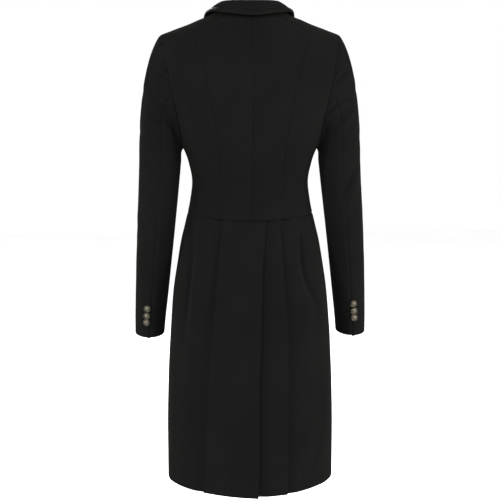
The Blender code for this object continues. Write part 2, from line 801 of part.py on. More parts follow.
def sleeve_fold(turn, height):
    lift = 0.0
    for start_turn, start_height, end_turn, end_height, depth, half_width in SLEEVE_FOLDS:
        degrees = math.degrees(turn) % 360
        share = (degrees - start_turn) / (end_turn - start_turn)
        strength = smooth_step(-0.35, 0.15, share) * smooth_step(1.35, 0.85, share)
        if strength > 0:
            middle = start_height + (end_height - start_height) * share
            lift -= depth * strength * bump(height - middle, half_width)
    return lift


def sleeve_points():
    """Outer and inner points of the left sleeve, a column for each place round the armhole."""
    shares = armhole_shares()
    columns, turns = [], []
    for row, front in armhole_round():
        share = shares[(round(row, 4), front)]
        turn = math.radians(360 - 180 * share if front else 180 * share)
        turns.append(turn)
        start, first, second, end = cap_curve(row, front, share, turn)
        column = []
        for low, high in zip(CAP_STEPS, CAP_STEPS[1:]):
            for step in range(STEPS):
                t = low + (high - low) * step / STEPS
                column.append(start * (1 - t) ** 3 + first * 3 * t * (1 - t) ** 2
                              + second * 3 * t * t * (1 - t) + end * t ** 3)
        column += [sleeve_ring_point(turn, ring) for ring in along(0, len(SLEEVE_RINGS) - 1)]
        columns.append(column)
    outer, inner = [], []
    count = len(columns)
    for j, column in enumerate(columns):
        outer.append([])
        inner.append([])
        for i, point in enumerate(column):
            around = columns[(j + 1) % count][i] - columns[j - 1][i]
            down = column[min(i + 1, len(column) - 1)] - column[max(i - 1, 0)]
            normal = around.cross(down).normalized()
            lift = sleeve_fold(turns[j], point.z) * smooth_step(0, 3, i / STEPS)
            outer[-1].append(point + normal * lift)
            inner[-1].append(point + normal * (lift - CLOTH))
    return outer, inner


def draw_in(columns):
    """Moves the first and last columns of a sleeve piece in by half a seam gap."""
    result = [list(column) for column in columns]
    for edge, neighbour in ((0, 1), (-1, -2)):
        for i, point in enumerate(columns[edge]):
            toward = (columns[neighbour][i] - point).normalized()
            result[edge][i] = point + toward * (SEAM_GAP / 2)
    return result


def swung(point, side):
    """The place of a sleeve point on its own side; the right sleeve swings out a little."""
    swing = RIGHT_SLEEVE_SWING * smooth_step(-0.28, -0.72, point.z) if side == RIGHT else 0.0
    return Vector(((point.x + swing) * side, point.y, point.z))


def make_sleeve(side, upper_name, under_name):
    outer, inner = sleeve_points()
    split = (BACK_SLEEVE_SEAM + FRONT_SLEEVE_SEAM) * STEPS
    pieces = ((upper_name, range(0, split + 1)), (under_name, range(split, len(outer) + 1)))
    for name, span in pieces:
        walls = []
        for columns in (outer, inner):
            chosen = draw_in([columns[j % len(outer)] for j in span])
            walls.append([[swung(point, side) for point in column] for column in chosen])
        make_wall(name, walls[0], walls[1], cloth)


# ---------------------------------------------------------------- collar
collar_curve = Curve(COLLAR)


def body_height(angle, radius):
    """Height at which the shoulders of the body form reach this radius."""
    low, high = -0.12, 0.02
    for _ in range(40):
        middle = (low + high) / 2
        if ring_radius(angle, middle) > radius:
            low = middle
        else:
            high = middle
    return low


def turned(vector):
    """The direction a quarter turn to the left of this one: the collar's showing side."""
    return Vector((-vector.y, vector.x))


def collar_section(station):
    """Outer and inner line of the collar in the upright plane of one station, from neck to edge."""
    degrees, neck_height, fold_radius, fold_height, edge_radius, rise = collar_curve.at(abs(station))
    angle = math.radians(degrees) * (1 if station >= 0 else -1)
    neck = Vector((ring_radius(angle, neck_height) - CLOTH, neck_height + 2 * SEAM_GAP))
    edge = Vector((edge_radius, body_height(angle, edge_radius) + rise))
    crown = Vector((fold_radius + FOLD_RADIUS, fold_height - FOLD_RADIUS))
    stand = (crown - neck).normalized()
    fall = (edge - crown).normalized()
    stand_end = crown + turned(stand) * FOLD_RADIUS
    fall_start = crown + turned(fall) * FOLD_RADIUS
    first_turn = math.atan2(turned(stand).y, turned(stand).x) % (2 * math.pi)
    last_turn = math.atan2(turned(fall).y, turned(fall).x)
    line = [neck.lerp(stand_end, i / (2 * STEPS)) for i in range(2 * STEPS)]
    for step in range(4 * STEPS + 1):
        turn = first_turn + (last_turn - first_turn) * step / (4 * STEPS)
        line.append(crown + Vector((math.cos(turn), math.sin(turn))) * FOLD_RADIUS)
    for step in range(1, 3 * STEPS + 1):
        share = step / (3 * STEPS)
        bow = FALL_BOW * math.sin(math.pi * share)
        line.append(fall_start.lerp(edge, share) + turned(fall) * bow)
    under = []
    for i, point in enumerate(line):
        direction = (line[min(i + 1, len(line) - 1)] - line[max(i - 1, 0)]).normalized()
        under.append(point - turned(direction) * CLOTH)
    return angle, line, under


def in_plane(angle, point):
    return Vector((point.x * math.sin(angle), point.x * math.cos(angle), point.y))


def collar_stations():
    last = len(COLLAR) - 1
    return [-row for row in along(0, last)][::-1] + along(0, last)[1:]


def make_collar():
    outer, inner = [], []
    for station in collar_stations():
        angle, line, under = collar_section(station)
        outer.append([in_plane(angle, point) for point in line])
        inner.append([in_plane(angle, point) for point in under])
    make_wall("collar", outer, inner, cloth)


def make_binding():
    """The band that wraps the collar's edge: one leg on each face of the cloth."""
    outer, inner = [], []
    for station in collar_stations():
        angle, line, under = collar_section(station)
        edge = (line[-1] + under[-1]) / 2
        back = (line[-2] - line[-1]).normalized()
        up = (line[-1] - under[-1]).normalized()
        near = CLOTH / 2 + BINDING_GAP
        far = near + BINDING_CLOTH
        rows = []
        for half, reach in ((far, BINDING_CLOTH + BINDING_GAP), (near, BINDING_GAP)):
            path = [(BINDING_WIDTH, half), (BINDING_WIDTH / 2, half), (0.0, half), (-reach, 0.0),
                    (0.0, -half), (BINDING_WIDTH / 2, -half), (BINDING_WIDTH, -half)]
            rows.append([in_plane(angle, edge + back * inward + up * across)
                         for inward, across in path])
        outer.append(rows[0])
        inner.append(rows[1])
    make_wall("collar_binding", outer, inner, satin)


# ---------------------------------------------------------------- buttons
def make_button(name, point, normal):
    """A domed button: its profile turned about the line that stands on the cloth."""
    mesh = bpy.data.meshes.new(name)
    bm = bmesh.new()
    profile = [bm.verts.new((BUTTON_RADIUS * share, 0.0, height)) for share, height in BUTTON_PROFILE]
    for upper, lower in zip(profile, profile[1:]):
        bm.edges.new((upper, lower))
    bm.to_mesh(mesh)
    bm.free()
    piece = bpy.data.objects.new(name, mesh)
    mesh.materials.append(metal)
    jacket.objects.link(piece)
    turned = piece.modifiers.new("turned", "SCREW")
    turned.steps = BUTTON_SEGMENTS
    turned.render_steps = BUTTON_SEGMENTS
    turned.use_merge_vertices = True
    turned.merge_threshold = 0.00001
    turned.use_smooth_shade = True
    piece.location = point + normal * BUTTON_CLEARANCE
    piece.rotation_euler = normal.to_track_quat("Z", "Y").to_euler()


def make_buttons():
    for side, side_name in ((LEFT, "left"), (RIGHT, "right")):
        for count, height in enumerate(CUFF_BUTTON_HEIGHTS[side], start=1):
            ring = ring_of_height(height)
            turn = math.radians(CUFF_BUTTON_TURN[side])
            point = sleeve_ring_point(turn, ring)
            around = sleeve_ring_point(turn + 0.01, ring) - sleeve_ring_point(turn - 0.01, ring)
            down = sleeve_ring_point(turn, ring + 0.01) - sleeve_ring_point(turn, ring - 0.01)
            normal = around.cross(down).normalized()
            if normal.y < 0:
                normal = -normal
            normal.x *= side
            make_button(f"cuff_button_{side_name}_{count}", swung(point, side), normal)
    for count, height in enumerate(FRONT_BUTTON_HEIGHTS, start=1):
        point = body_point(math.pi, height)
        make_button(f"front_button_{count}", point, body_normal(math.pi, height))


def ring_of_height(height):
    """Place along the sleeve's rings of a height."""
    heights = [ring[0] for ring in SLEEVE_RINGS]
    return float(np.interp(-height, [-value for value in heights], range(len(heights))))


# ---------------------------------------------------------------- the jacket
for old in list(bpy.data.objects):
    bpy.data.objects.remove(old, do_unlink=True)

jacket = bpy.data.collections.new("dressage_jacket")
bpy.context.scene.collection.children.link(jacket)

cloth = make_material("black_cloth", (0.0105, 0.0100, 0.0098), 0.82, 0.0)
satin = make_material("satin_binding", (0.0160, 0.0150, 0.0140), 0.38, 0.0)
metal = make_material("antique_metal", (0.230, 0.205, 0.170), 0.36, 1.0)

for side, word in ((LEFT, "left"), (RIGHT, "right")):
    make_back(side, f"back_{word}")
    make_side_back(side, f"side_back_{word}")
    make_sleeve(side, f"sleeve_upper_{word}", f"sleeve_under_{word}")
make_front(LEFT, "front_left", front_left_form)
make_front(RIGHT, "front_right", skirt_form)
make_lapel(LEFT, "lapel_left", front_left_form)
make_lapel(RIGHT, "lapel_right", skirt_form)
make_skirt()
make_collar()
make_binding()
make_buttons()
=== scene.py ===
"""Women's dressage frock, filled out without a wearer: the finished cloth, binding and buttons.

Metres, +Z up. The wearer faces -Y, so the back is at +Y and the wearer's left is at +X.
The tables are written in millimetres and degrees, and in_metres turns them into metres.
Run as a script: each piece is a shell of cloth on the form of its solid in the frame.
"""

import math

import bmesh
import bpy
import numpy as np
from bpy.props import FloatProperty, FloatVectorProperty, IntProperty, PointerProperty
from mathutils import Matrix, Vector


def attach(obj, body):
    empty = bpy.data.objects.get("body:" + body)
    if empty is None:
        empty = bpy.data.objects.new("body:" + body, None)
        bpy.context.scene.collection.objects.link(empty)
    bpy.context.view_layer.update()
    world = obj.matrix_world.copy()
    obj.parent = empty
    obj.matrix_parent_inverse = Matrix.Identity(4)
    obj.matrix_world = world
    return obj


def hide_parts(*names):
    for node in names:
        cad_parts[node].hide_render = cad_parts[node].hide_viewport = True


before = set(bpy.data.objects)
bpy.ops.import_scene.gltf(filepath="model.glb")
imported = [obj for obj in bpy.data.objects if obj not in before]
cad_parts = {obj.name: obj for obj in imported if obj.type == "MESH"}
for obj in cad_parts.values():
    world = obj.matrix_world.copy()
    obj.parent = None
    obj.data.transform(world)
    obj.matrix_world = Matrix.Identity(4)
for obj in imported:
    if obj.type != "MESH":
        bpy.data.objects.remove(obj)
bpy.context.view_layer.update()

bl_info = {
    "name": "Dressage frock",
    "version": (1, 0, 0),
    "blender": (4, 5, 0),
    "location": "View3D > Sidebar > Frock",
    "description": "Builds a dressage frock from cloth shells, with its folds, stitches and buttons",
    "category": "Add Mesh",
}


def in_metres(table, others=()):
    """A table of millimetres in metres. Its other columns are degrees, shares and names."""
    return [[value if column in others else value / 1000 for column, value in enumerate(row)]
            for row in table]


# -------- sizes of the cut
CLOTH = 0.0020          # thickness of the wall that the form was cut for
SEAM_HOLD = 0.0010      # how far two sewn pieces reach into each other
STAND_REACH = 0.0020    # how far the collar's stand reaches down inside the neck seam
SOFT_EDGE_ANGLE = 60    # degrees: sharper edges of the cloth are rounded
STEPS = 8               # grid steps for each row of the seam tables
LEFT = 1                # the wearer's left side, at +X
RIGHT = -1

# Rings of the body form: height, half width, depth to the back, depth to the front, squareness
BODY_RINGS = in_metres((
    (20, 62, 46, 38, 2.00),
    (-2, 76, 55, 48, 2.00),
    (-11, 91, 62, 54, 2.00),
    (-16, 104, 66, 58, 1.95),
    (-26, 127, 72, 63, 1.85),
    (-38, 159, 78, 69, 1.80),
    (-50.5, 187, 82, 75, 1.80),
    (-64, 192, 86, 81, 1.85),
    (-105, 190, 96, 98, 2.00),
    (-150, 183, 102, 116, 2.10),
    (-200, 170, 104, 130, 2.18),
    (-240, 156, 101, 136, 2.22),
    (-271, 144, 96.5, 136, 2.25),
    (-285, 136.5, 93.5, 134, 2.28),
    (-306, 128.8, 88.5, 130, 2.30),
    (-350, 120.7, 81, 119, 2.30),
    (-390, 125.3, 81.5, 115, 2.30),
    (-432, 134.5, 90, 118, 2.28),
    (-475, 144.7, 103, 124, 2.24),
    (-516, 151.7, 113, 128, 2.20),
    (-580, 161.3, 124, 133, 2.15),
    (-643, 166.2, 131, 136, 2.08),
    (-772, 173.2, 140, 140, 2.02),
    (-870, 175.2, 145, 142, 2.00),
    (-1000, 174.8, 150, 144, 1.98),
), others=(4,))

# Shoulder seam, set to the back: height, distance from the centre
SHOULDER_SEAM = in_metres((
    (-2, 45),
    (-16.4, 65),
    (-30, 92),
    (-46, 120.5),
    (-51.5, 136.5),
    (-56.5, 152),
    (-61.7, 168),
    (-67, 183),
))
SHOULDER_HEIGHTS = (-0.12, 0.02)    # the body form's shoulders lie between these heights
SHOULDER_ROWS_OF_BACK = 3       # rows of the shoulder seam that the centre back panel takes

# Armhole, from the shoulder tip down: height, angle at the back, angle at the front
ARMHOLE = in_metres((
    (-50.5, 90.0, 90.0),
    (-56, 86.5, 93.4),
    (-67, 82.9, 96.5),
    (-85, 80.2, 99.9),
    (-105, 77.7, 103.8),
    (-126, 75.9, 107.6),
    (-148, 74.6, 111.2),
    (-170, 73.3, 113.6),
    (-193, 72.6, 115.1),
    (-216, 73.0, 115.0),
    (-238, 74.9, 112.7),
    (-257, 77.9, 109.0),
    (-271, 82.2, 103.3),
    (-278.5, 87.3, 97.2),
    (-281, 92.0, 92.0),
), others=(1, 2))
SHOULDER_END = 2                # row of the armhole where the shoulder seam ends
UNDERARM = 14                   # row of the armhole at the underarm

# Back princess seam, a row for each row of the back armhole: height, distance from the centre
PRINCESS_SEAM = in_metres((
    (-46, 120.5),
    (-68, 112),
    (-91, 104.5),
    (-116, 97.5),
    (-141, 91.5),
    (-167, 85.5),
    (-193, 79.8),
    (-216, 75.2),
    (-238, 71.8),
    (-257, 69.2),
    (-272, 67.6),
    (-286, 66.3),
    (-298, 65.3),
    (-316, 64),
    (-337, 62.7),
    (-359, 61.8),
    (-382, 61),
    (-403, 60.5),
    (-421.5, 60.2),
))

# Centre back seam: heights of the rows that run to the shoulder and princess seams
CENTRE_BACK = in_metres([(height,) for height in (
    -2, -22, -42, -62, -81, -102, -124, -147, -170, -194, -217,
    -239, -258, -274, -288, -301, -319, -340, -361, -384, -405, -424)])

# Side seam from the underarm to the hem: height, angle on the left, angle on the right
SIDE_SEAM = in_metres((
    (-281, 92.0, 92.0),
    (-305, 94.0, 94.0),
    (-330, 96.0, 96.0),
    (-355, 97.0, 97.0),
    (-380, 97.5, 97.5),
    (-402, 97.5, 97.5),
    (-415, 97.2, 97.4),
    (-450, 95.5, 96.5),
    (-490, 92.5, 95.0),
    (-530, 89.0, 93.0),
    (-570, 85.5, 91.0),
    (-610, 82.0, 88.5),
    (-650, 79.0, 85.0),
    (-700, 76.0, 79.0),
    (-755, 74.5, 71.5),
    (-810, 74.0, 66.5),
    (-865, 74.0, 63.5),
    (-915, 75.0, 61.8),
    (-950, 76.5, 61.0),
    (-978, 78.0, 60.8),
), others=(1, 2))
WAIST_ROW = 6                   # row of the side seam at the waist seam

# Front edge: neckline, roll line of the lapel, closing edge and cutaway. A row for each row of
# the outer edge: height, angle or distance from the centre (below 0 it is past the centre)
NECK_ROWS = in_metres((
    (-2, 42.7),
    (-2, 66.0),
    (-2, 88.0),
    (-3.5, 100.0),
    (-8, 110.0),
    (-14.5, 119.0),
), others=(1,))
FRONT_EDGE = in_metres((
    (-24, 60),
    (-50, 57),
    (-83, 49),
    (-118, 39.5),
    (-153, 29),
    (-188, 16.5),
    (-220, 1),
    (-248, -15),
    (-268, -21),
    (-283, -22),
    (-296, -22),
    (-314, -22),
    (-335, -22),
    (-357, -22),
    (-381, -22),
    (-403, -22),
    (-420, -22),
    (-450, -20.5),
    (-490, -13),
    (-530, -1),
    (-570, 12),
    (-610, 25.5),
    (-650, 39),
    (-700, 55),
    (-755, 71),
    (-810, 85.5),
    (-865, 98.5),
    (-908, 107.5),
    (-938, 116),
    (-957, 129),
))
FRONT_HEM_SAG = 0.85            # how much the rows near the front hem sag toward the side seam
FRONT_SAG_HEIGHTS = (-0.86, -0.965)     # heights at the side seam between which the sag grows

# Skirt rows: height, then the distance from the centre of the left pleat edge, of the vent edge
# and of the right pleat edge
SKIRT_ROWS = in_metres((
    (-424, 61.3, -28.2, -58.4),
    (-455, 65, -25, -58.6),
    (-492, 68.2, -20.3, -58.9),
    (-530, 71.5, -17.6, -61.2),
    (-570, 76.5, -16.3, -64.5),
    (-610, 79.8, -15.1, -67.4),
    (-650, 83, -14.3, -69),
    (-700, 87.8, -12.8, -69.4),
    (-755, 92, -10.3, -69.3),
    (-810, 94.5, -9.8, -69.2),
    (-865, 96.8, -9.5, -69.2),
    (-915, 99.7, -9.2, -69.1),
    (-953, 101.6, -8.6, -69),
    (-986.2, 103, -8, -69),
))
WAIST_BACK = -0.424             # height of the waist seam at the centre back
WAIST_SIDE_RISE = 0.009         # it is this much higher at the sides
HEM_SIDE_RISE = 0.009           # and the hem is this much higher there
VENT_HEM_STEP = 0.0025          # the left panel hangs this much lower at the vent
UNDERLAP = 0.014                # width of cloth hidden behind a pleat edge or the vent
LAP_DEPTH_WAIST = 0.0032        # how far back that cloth lies, at the waist seam
LAP_DEPTH = 0.0050              # and below it
LAP_RISE = 0.026                # distance in which it comes forward again
EDGE_LIFT = 0.0012              # how far a pressed pleat edge stands out
EDGE_WIDTH = 0.016
CLOSING_LAP = 0.0034            # how far the left front lies behind the right front
CLOSING_RISE = 0.024
SIDE_RIDGE = 0.0012             # pressed ridge along the skirt's side seams
SIDE_RIDGE_WIDTH = 0.010
RIDGE_HEIGHTS = (-0.62, -0.70)  # heights between which the ridge grows to its full height
LAP_HEIGHTS = (-0.44, -0.52)    # and the hidden cloth to its full depth
EDGE_HEIGHTS = (-0.43, -0.50)   # and the pressed edges
CLOSING_HEIGHTS = (-0.165, -0.215)      # and the left front's lap
CLOSING_REACH = 0.024           # distance from the centre to which that lap is full
WAIST_RISE_HEIGHTS = (-0.50, -0.424)    # heights between which the waist's rise grows
HEM_RISE_HEIGHTS = (-0.90, -0.986)      # and the hem's

# Soft folds of the skirt: height and angle at the top, middle and bottom, depth, half width
SKIRT_FOLDS = in_metres((
    (-435, 64.0, -535, 60.5, -650, 62.5, 5, 11),
    (-435, -54.0, -520, -49.5, -605, -61.0, 5, 10),
    (-440, 77.0, -480, 79.0, -540, 84.0, 2.5, 9),
    (-440, -80.0, -500, -78.0, -580, -83.0, 2, 10),
    (-440, 48.0, -470, 46.0, -520, 43.0, -1.8, 9),
), others=(1, 3, 5))

FOLD_FADE = 0.05                # height in which a fold fades at its ends
FOLD_FADE_FOOT = 0.03           # it starts to fade this far above its foot

# Rings of the sleeve: height, centre out, half width, centre back, half depth, tilt
SLEEVE_RINGS = in_metres((
    (-305, 186.6, 43.7, 0, 58, 0.00),
    (-347, 189.3, 42.4, 2, 56, 0.00),
    (-389, 192.2, 41.2, 4, 53.5, 0.02),
    (-430, 195.3, 40.1, 3, 51, 0.05),
    (-472, 198.1, 38.6, -1, 49, 0.09),
    (-515, 201.3, 37.3, -8, 47.5, 0.13),
    (-557, 204, 35.7, -15, 46, 0.14),
    (-600, 207, 34.1, -23, 44.5, 0.14),
    (-641, 209.8, 32.4, -31, 43, 0.14),
    (-672, 211.3, 31.2, -36, 42, 0.14),
), others=(5,))
CAP_STEPS = (0.0, 0.12, 0.28, 0.48, 0.72, 1.0)
CAP_REACH = 0.200               # how far the sleeve cap leans out, as a share of its length
CAP_REACH_UNDER = 0.04          # and what is added to that under the arm
CAP_DROP = 0.45                 # how long it then hangs straight, as a share of its length
CAP_ROUNDING = 3.5              # armhole rows over which its direction turns at the shoulder
CAP_FOOT_ROUNDING = 0.5         # and at the underarm
RIGHT_SLEEVE_SWING = 0.006      # how much further out the right cuff hangs
SWING_HEIGHTS = (-0.28, -0.72)  # heights between which that swing grows
CUFF_CORNER = 0.0022            # how far the upper sleeve's corner at the vent hangs below the cuff
CUFF_CORNER_WIDTH = 0.0080
ARMHOLE_SEAM_SHARE = 0.15       # how deep the sleeve sinks at the armhole, as a share of a seam
SLEEVE_FOLD_START = (-0.35, 0.15)       # shares of a sleeve fold's length in which it grows
SLEEVE_FOLD_END = (1.35, 0.85)          # and fades
SLEEVE_FOLD_ROWS = 3            # rows of the cap over which the folds grow
SMALL_STEP = 0.1                # share of an armhole row that gives its direction
BACK_SLEEVE_SEAM = 7            # armhole rows where the two sleeve seams start
FRONT_SLEEVE_SEAM = 9

# Folds of the sleeve: turn round it and height at both ends, depth, half width
SLEEVE_FOLDS = in_metres((
    (40.0, -150, 96.0, -142, 4, 12),
    (62.0, -190, 128.0, -222, 5, 12),
    (70.0, -255, 140.0, -245, 3, 10),
    (255.0, -420, 300.0, -450, 3.5, 14),
    (262.0, -480, 310.0, -492, 3, 13),
), others=(0, 2))

# Collar stations: angle, neck height, fold radius and height, edge radius and its height above
# the body
COLLAR = in_metres((
    (0.0, -2, 47.5, 23.2, 68, 14),
    (18.0, -2, 48.5, 23.2, 69.2, 13.8),
    (35.0, -2, 50.5, 23.2, 72, 12.8),
    (50.0, -2, 52.5, 22.9, 76.5, 12.6),
    (64.0, -2, 54.5, 22.2, 82, 13),
    (78.0, -2, 56.7, 20.9, 86.5, 11.4),
    (90.0, -2.2, 59.2, 18.8, 89.2, 9.4),
    (101.0, -4, 63, 14.8, 93.5, 8),
    (111.0, -8.5, 68, 7, 100, 6.7),
    (119.0, -13.8, 73, -3, 107.5, 6.4),
    (126.0, -18, 74.2, -9.8, 114, 8),
), others=(0,))
STAND_STEPS, FOLD_STEPS, FALL_STEPS = 16, 16, 24    # grid steps up, over and down the collar
FOLD_RADIUS = 0.0032            # roundness of the collar's fold
FALL_BOW = 0.0012               # how far the fall bulges between fold and edge
STAND_SEAM_SHARE = 0.30         # where the seam of stand and fall runs, from the edge up
STAND_SEAM_DEPTH = 0.0003
STAND_SEAM_WIDTH = 0.004
BINDING_WIDTH = 0.0065
BINDING_CLOTH = 0.0008
BINDING_GAP = 0.0005            # space between the binding and the cloth that it wraps
BINDING_PLACES = 9              # grid places across each of its two sides
BINDING_BOW = 0.7               # how evenly it bulges: nearer 0 is more even
BINDING_SOFTNESS = 0.3          # its rounded edge, as a share of its thickness

# Lapel: roll line and outer edge, a row for each step down: height and distance of both
LAPEL = in_metres((
    (-30, 59.6, -64, 101),
    (-52, 56.8, -83, 116.5),
    (-83, 48.8, -104, 118),
    (-118, 39.3, -132, 109),
    (-153, 28.8, -163, 92),
    (-186, 17.3, -193, 69),
    (-213, 6, -218, 43),
    (-240, -10.5, -242, 5),
))
LAPEL_END = {LEFT: 6, RIGHT: 7}         # last row: the left lapel goes behind the right front
LAPEL_LIFT = 0.0016             # space between the lapel and the front under it
LAPEL_ROLL = 0.0016             # extra height of its rolled edge

# Buttons
BUTTON_RADIUS = 0.0073
BUTTON_CLEARANCE = 0.0004
BUTTON_SEGMENTS = 40
BUTTON_SHARP_ANGLE = 50         # degrees: sharper edges of the button stay crisp
CUFF_BUTTON_HEIGHTS = {LEFT: (-0.607, -0.6222, -0.6375), RIGHT: (-0.6005, -0.6160, -0.6310)}
CUFF_BUTTON_TURN = {LEFT: 76.0, RIGHT: 82.0}    # degrees from the sleeve's outer side to the back
FRONT_BUTTON_HEIGHTS = (-0.252, -0.334, -0.416)

# Columns of each piece's grid, about 3 mm apart
BACK_COLUMNS = 34
SIDE_BACK_COLUMNS = 40
CENTRE_LEFT_COLUMNS = 40
CENTRE_RIGHT_COLUMNS = 30
SIDE_COLUMNS = 54
LAPEL_COLUMNS = 24

# The finished button's face: radius share and height
BUTTON_FACE = ((0.0, 0.0044), (0.18, 0.00432), (0.34, 0.0040), (0.48, 0.0035), (0.58, 0.0029),
               (0.63, 0.0023), (0.66, 0.0021), (0.82, 0.0021), (0.85, 0.0023), (0.88, 0.0029),
               (0.93, 0.0031), (0.98, 0.0028), (1.0, 0.0020), (0.97, 0.0008), (0.92, 0.0004), (0.0, 0.0002))
BEAD_RING = 0.74                # share of the radius at which the small beads lie
BEAD_RADIUS = 0.00055
BEAD_HEIGHT = 0.0022

WAIST_STITCH_DROP = 0.0060      # how far below the waist seam its line of stitches runs
BUTTONHOLE = (0.004, -0.020)    # ends of a front buttonhole, from the button's middle
BUTTONHOLE_HALF_WIDTH = 0.0011
BUTTONHOLE_SPACING = 1.25       # distance between its stitches, in thicknesses of the thread
BUTTONHOLE_STITCH = 1.9         # length of its stitches, in half widths of the slot
STITCH_AIM = 0.001              # how far ahead a stitch looks for its direction
SKIRT_PANELS = ("skirt_side_left", "skirt_centre_left", "skirt_centre_right", "skirt_side_right")
SIDES = ((LEFT, "left"), (RIGHT, "right"))

surfaces = {}                   # the finished outer grid of each piece: points and normals


# -------- smooth tables
def slopes(places, values):
    """Slopes that join a table's rows smoothly and never overshoot them."""
    steps = np.diff(values) / np.diff(places)
    result = np.empty(len(values))
    result[0] = steps[0]
    result[-1] = steps[-1]
    for i in range(1, len(values) - 1):
        before, after = steps[i - 1], steps[i]
        result[i] = 0.0 if before * after <= 0 else 2 * before * after / (before + after)
    return result


class Curve:
    """A smooth curve through the columns of a table, read at many places at once."""

    def __init__(self, rows, places=None):
        self.values = np.array(rows, dtype=float)
        self.places = np.arange(len(rows), dtype=float) if places is None else np.array(places)
        if self.places[0] > self.places[-1]:
            self.places = self.places[::-1]
            self.values = self.values[::-1]
        self.slopes = np.array([slopes(self.places, column) for column in self.values.T]).T

    def at(self, place):
        place = np.clip(np.asarray(place, dtype=float), self.places[0], self.places[-1])
        i = np.clip(np.searchsorted(self.places, place, side="right") - 1, 0, len(self.places) - 2)
        span = (self.places[i + 1] - self.places[i])[..., None]
        t = (place - self.places[i])[..., None] / span
        start = (1 + 2 * t) * (1 - t) ** 2 * self.values[i]
        end = t * t * (3 - 2 * t) * self.values[i + 1]
        bend = t * (1 - t) ** 2 * self.slopes[i] - t * t * (1 - t) * self.slopes[i + 1]
        return start + end + span * bend

    def columns(self, place):
        return np.moveaxis(self.at(place), -1, 0)


def by_height(table):
    """A curve of a table whose first column is the height."""
    return Curve([row[1:] for row in table], [row[0] for row in table])


def smooth_step(low, high, value):
    t = np.clip((value - low) / (high - low), 0.0, 1.0)
    return t * t * (3 - 2 * t)


def bump(distance, half_width):
    return np.exp(-(distance / half_width) ** 2)


def unit(vectors):
    return vectors / np.maximum(np.linalg.norm(vectors, axis=-1, keepdims=True), 1e-12)


def lengths(points, axis):
    """How far along a row or column of the grid each point lies."""
    spans = np.linalg.norm(np.diff(points, axis=axis), axis=-1)
    total = np.cumsum(spans, axis=axis)
    pad = [(0, 0)] * total.ndim
    pad[axis] = (1, 0)
    return np.pad(total, pad)


# -------- body form
HALVINGS = 32                   # steps of a search that halves what is left
SMALL_TURN, SMALL_RISE = 0.002, 0.0005      # steps that give the form's slope

body_rings = by_height(BODY_RINGS)
side_seams = by_height(SIDE_SEAM)
skirt_lines = by_height(SKIRT_ROWS)


def ring_radius(angle, height):
    half_width, back, front, squareness = body_rings.columns(height)
    depth = np.where(np.cos(angle) >= 0, back, front)
    across = np.abs(np.sin(angle) / half_width) ** squareness
    deep = np.abs(np.cos(angle) / depth) ** squareness
    return (across + deep) ** (-1 / squareness)


def body_point(angle, height):
    radius = ring_radius(angle, height)
    across, back, up = np.broadcast_arrays(radius * np.sin(angle), radius * np.cos(angle), height)
    return np.stack([across, back, up], axis=-1)


def body_normal(angle, height):
    around = body_point(angle + SMALL_TURN, height) - body_point(angle - SMALL_TURN, height)
    upward = body_point(angle, height + SMALL_RISE) - body_point(angle, height - SMALL_RISE)
    return unit(np.cross(upward, around))


def angle_at(distance, height, front=False):
    """Angle of the place on the body form that lies this far out from the centre."""
    distance, height = np.broadcast_arrays(np.asarray(distance, float), np.asarray(height, float))
    low = np.zeros(distance.shape)
    high = np.full(distance.shape, math.pi / 2)
    for _ in range(HALVINGS):
        middle = (low + high) / 2
        across = ring_radius(math.pi - middle if front else middle, height) * np.sin(middle)
        nearer = across < np.abs(distance)
        low = np.where(nearer, middle, low)
        high = np.where(nearer, high, middle)
    angle = np.copysign(low, distance)
    return math.pi - angle if front else angle


def body_height(angle, radius):
    """Height at which the shoulders of the body form reach this radius."""
    low, high = SHOULDER_HEIGHTS
    for _ in range(HALVINGS):
        middle = (low + high) / 2
        if ring_radius(angle, middle) > radius:
            low = middle
        else:
            high = middle
    return low


# -------- folds and laps of the form
fold_curves = [Curve([[fold[1]], [fold[3]], [fold[5]]], [fold[0], fold[2], fold[4]])
               for fold in SKIRT_FOLDS]


def skirt_fold(angle, height):
    """How far the skirt's soft folds move the cloth in or out."""
    lift = np.zeros(np.broadcast(angle, height).shape)
    for fold, curve in zip(SKIRT_FOLDS, fold_curves):
        top, bottom, depth, half_width = fold[0], fold[4], fold[6], fold[7]
        strength = smooth_step(top, top - FOLD_FADE, height)
        strength *= smooth_step(bottom - FOLD_FADE, bottom + FOLD_FADE_FOOT, height)
        distance = (angle - np.radians(curve.columns(height)[0])) * ring_radius(angle, height)
        lift -= depth * strength * bump(distance, half_width)
    return lift


def side_ridge(angle, height):
    left, right = side_seams.columns(height)
    seam = np.where(angle > 0, np.radians(left), -np.radians(right))
    distance = (angle - seam) * ring_radius(angle, height)
    return SIDE_RIDGE * smooth_step(*RIDGE_HEIGHTS, height) * bump(distance, SIDE_RIDGE_WIDTH)


def skirt_form(angle, height):
    return skirt_fold(angle, height) + side_ridge(angle, height)


def lap_depth(height):
    return LAP_DEPTH_WAIST + (LAP_DEPTH - LAP_DEPTH_WAIST) * smooth_step(*LAP_HEIGHTS, height)


def lap(edge_column, direction):
    """Recess of the panel that passes behind the pleat edge or vent of this column."""
    def recess(angle, height):
        edge = angle_at(skirt_lines.columns(height)[edge_column], height)
        distance = direction * (angle - edge) * ring_radius(angle, height)
        return skirt_form(angle, height) - lap_depth(height) * (1 - smooth_step(0.0, LAP_RISE, distance))
    return recess


def edge_lift(angle, height, edge_column):
    edge = angle_at(skirt_lines.columns(height)[edge_column], height)
    distance = np.abs(angle - edge) * ring_radius(angle, height)
    strength = smooth_step(*EDGE_HEIGHTS, height)
    return EDGE_LIFT * strength * (1 - smooth_step(0.0, EDGE_WIDTH, distance))


PLEAT_LEFT, VENT, PLEAT_RIGHT = 0, 1, 2


